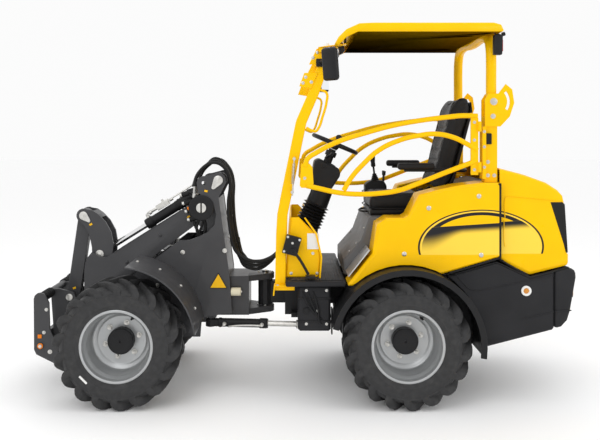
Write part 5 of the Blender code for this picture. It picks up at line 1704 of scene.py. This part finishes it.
@dataclass
class Tail:
    """The side covers, the hood, the lower covers and the counterweight."""

    cover_y: float = 0.500
    hood_y: float = 0.460
    lower_y: float = 0.480

    def covers(self) -> None:
        """The yellow panels and hood with stripes, and the dark lower covers."""
        for side in Side:
            refined(f"side_panel_{side.word}", Look.YELLOW, 0.003, 2, 30)
            refined(f"lower_panel_{side.word}", Look.SHELL, 0.003, 2, 30)
            refined(f"mudguard_rear_{side.word}", Look.PLASTIC, 0.0015, 1, 50)
        refined("engine_hood", Look.YELLOW, 0.003, 2, 30)
        refined("rear_counterweight", Look.SHELL, 0.003, 2, 30)
        dress("rear_chassis", Look.PLASTIC)
        dress("engine_block", Look.PLASTIC)
        refined("rear_axle", Look.IRON, 0.002)

    def screws(self) -> None:
        """The button screws in the side panels."""
        work = Workpiece()
        for side in Side:
            for x, z in ((0.747, 1.161), (1.041, 1.231), (0.603, 0.892), (1.054, 0.886)):
                seat = (x, side.y(self.cover_y), z)
                work.turned([(-0.001, 0.0), (-0.001, 0.0140), (0.0015, 0.0140), (0.0045, 0.0110),
                             (0.0060, 0.0060), (0.0062, 0.0)], seat, (0, side.y(1), 0), 28, False)
        work.done("panel_screws", "rear_frame", Look.ZINC)

    def seals(self) -> None:
        """Black rubber edging between the panels, the hood and the lower covers."""
        work = Workpiece()
        for side in Side:
            y = side.y(self.cover_y - 0.006)
            work.tube([(1.166, y, 1.306), (1.166, y, 1.100), (1.166, y, 0.872)], 0.0085, 12)
            work.tube([(1.164, y, 0.868), (1.130, y, 0.858), (0.990, y, 0.815), (0.868, y, 0.779)], 0.0070,
                      12)
            y = side.y(self.hood_y + 0.004)
            work.tube([(1.166, side.y(self.cover_y - 0.010), 0.866), (1.182, y, 0.848), (1.270, y, 0.795),
                       (1.352, y, 0.749), (1.480, y, 0.781), (1.580, y, 0.806)], 0.0070, 12, False)
        work.done("cover_seals", "rear_frame", Look.HOSE)

    def creases(self) -> None:
        """Raised edges moulded into the lower covers."""
        work = Workpiece()
        for side in Side:
            y = side.y(self.lower_y)
            work.tube([(0.905, y, 0.774), (0.950, y, 0.722), (0.985, y, 0.688), (1.020, y, 0.676),
                       (1.090, y, 0.683),
                       (1.250, y, 0.716), (1.420, y, 0.748), (1.488, y, 0.762)], 0.0034, 10)
            work.tube([(0.900, y, 0.770), (1.080, y, 0.8225), (1.150, y, 0.8400), (1.348, y, 0.7505),
                       (1.488, y, 0.7840)], 0.0030, 10, False)
            work.tube([(1.300, y, 0.508), (1.400, y, 0.530), (1.488, y, 0.548)], 0.0036, 10)
            work.tube([(1.496, y, 0.550), (1.540, y, 0.558), (1.590, y, 0.556)], 0.0036, 10)
        work.done("cover_creases", "rear_frame", Look.SHELL)

    def reflectors(self) -> None:
        """The ringed amber reflector on each lower cover."""
        for side in Side:
            base = (1.3245, side.y(self.lower_y - 0.001), 0.672)
            out = (0, side.y(1), 0)
            ring = Workpiece().turned([(0.0, 0.0160), (0.0, 0.0300), (0.006, 0.0300), (0.009, 0.0270),
                                       (0.008, 0.0190), (0.004, 0.0160)], base, out, 48)
            ring.done(f"reflector_ring_{side.word}", "rear_frame", Look.WHITE)
            lens = Workpiece().turned([(0.0, 0.0), (0.0, 0.0165), (0.004, 0.0165), (0.007, 0.0100),
                                       (0.008, 0.0)], base,
                                      out, 40, False)
            lens.done(f"reflector_lens_{side.word}", "rear_frame", Look.AMBER)

    def hood_details(self) -> None:
        """Dark corner lamps, pressed lines, rear grille, latch and lights."""
        for side in Side:
            low, high = side.span(self.hood_y - 0.030, self.hood_y + 0.0015)
            wedge = Workpiece().plate([(1.474, 1.193), (1.545, 1.193), (1.5605, 1.180), (1.5785, 0.894),
                                       (1.569, 0.892)],
                                      low, high, 0.003, 2)
            wedge.done(f"corner_lamp_{side.word}", "hood", Look.HOSE)
            line = Workpiece()
            y = side.y(self.hood_y + 0.0006)
            line.tube([(1.205, y, 1.100), (1.205, y, 1.205), (1.212, y, 1.222), (1.232, y, 1.226),
                       (1.360, y, 1.216), (1.470, y, 1.206), (1.545, y, 1.200)], 0.0030, 10)
            line.tube([(1.200, y, 1.086), (1.200, y, 0.960), (1.204, y, 0.930)], 0.0024, 10)
            line.done(f"hood_line_{side.word}", "hood", Look.PLAIN_YELLOW)
        grille, lights = Workpiece(), Workpiece()
        for i in range(9):
            z = 1.140 - 0.024 * i
            x = 1.5635 + (1.190 - z) * 0.0575
            grille.block((x - 0.004, -0.270, z - 0.005), (x + 0.004, 0.270, z + 0.005), 0.002, 1)
        grille.block((1.572, -0.060, 0.846), (1.594, 0.060, 0.866), 0.004, 2)
        grille.done("hood_grille", "hood", Look.HOSE)
        for side in Side:
            low, high = side.span(0.345, 0.425)
            lights.block((1.606, low, 0.620), (1.6245, high, 0.720), 0.006, 3)
        lights.done("tail_lamp_housings", "rear_frame", Look.PLASTIC)
        for side in Side:
            low, high = side.span(0.353, 0.417)
            for colour, foot, finish in (("red", 0.674, Look.RED), ("amber", 0.628, Look.AMBER)):
                lens = Workpiece().block((1.6180, low, foot), (1.6290, high, foot + 0.038), 0.004, 2)
                lens.done(f"tail_lamp_{colour}_{side.word}", "rear_frame", finish)
        bolts = Workpiece()
        for side in Side:
            for z in (0.690, 0.630):
                bolts.bolt((1.638, side.y(0.060), z), (1, 0, 0), 0.008)
        bolts.done("hitch_bolts", "rear_frame", Look.ZINC)

    def build(self) -> None:
        """Makes the whole tail."""
        self.covers()
        self.screws()
        self.seals()
        self.creases()
        self.reflectors()
        self.hood_details()


# Studio -----------------------------------------------------------------------------


@dataclass
class Studio:
    """A pale floor, soft lamps and the camera."""

    eye: tuple[float, float, float] = (-0.055, -4.600, 1.590)
    lens: float = 41.96
    shift: tuple[float, float] = (0.0133, -0.1417)
    floor_half: float = 20.0
    sky: float = 0.97
    lamps: tuple[tuple[str, Place, Place, float, float], ...] = (
        ("key lamp", (-2.2, -4.2, 4.6), (0, 0, 0.9), 3.0, 55),
        ("top lamp", (0.4, 0.4, 5.2), (0, 0, 0.8), 4.0, 40),
        ("rear lamp", (4.2, -1.8, 3.0), (0.3, 0, 0.9), 2.0, 25),
    )

    def floor(self) -> None:
        """A wide pale floor."""
        mesh = bpy.data.meshes.new("studio_floor")
        bm = bmesh.new()
        bmesh.ops.create_grid(bm, x_segments=1, y_segments=1, size=2 * self.floor_half)
        bm.to_mesh(mesh)
        bm.free()
        plane = bpy.data.objects.new("studio_floor", mesh)
        bpy.context.scene.collection.objects.link(plane)
        paint = Finish("studio floor paint", "", (0.99, 0.99, 0.99), 0.85, mottle=0.0, grain=0.0)
        mesh.materials.append(paint.material())

    def lamp(self, name: str, place: Place, aim: Place, size: float, power: float) -> None:
        """A square soft lamp that faces a point."""
        data = bpy.data.lights.new(name, "AREA")
        data.size = size
        data.energy = power
        lamp = bpy.data.objects.new(name, data)
        lamp.location = place
        lamp.rotation_euler = (Vector(aim) - Vector(place)).to_track_quat("-Z", "Y").to_euler()
        bpy.context.scene.collection.objects.link(lamp)

    def build(self) -> None:
        """Makes the camera, the floor, the sky and the lamps."""
        data = bpy.data.cameras.new("camera")
        data.lens = self.lens
        data.shift_x, data.shift_y = self.shift
        camera = bpy.data.objects.new("camera", data)
        camera.location = self.eye
        camera.rotation_euler = (math.radians(90), 0, 0)
        bpy.context.scene.collection.objects.link(camera)
        bpy.context.scene.camera = camera
        self.floor()
        world = bpy.data.worlds.new("studio sky")
        world.use_nodes = True
        sky = world.node_tree.nodes["Background"].inputs
        sky[0].default_value = (1.0, 1.0, 1.0, 1.0)
        sky[1].default_value = self.sky
        bpy.context.scene.world = world
        bpy.context.scene.view_settings.view_transform = "Standard"
        for name, place, aim, size, power in self.lamps:
            self.lamp(name, place, aim, size, power)


def main() -> None:
    """Builds the studio and every sub-assembly."""
    logging.basicConfig(level=logging.INFO, format="%(message)s")
    Studio().build()
    for end in ("front", "rear"):
        for side in Side:
            Wheel(end, side).build()
    FrontMachine().build()
    Arm().build()
    ToolCoupler().build()
    Station().build()
    Canopy().build()
    Posts().build()
    for side in Side:
        SideGuard(side).build()
        Mirror(side).build()
    Tail().build()


if __name__ == "__main__":
    main()
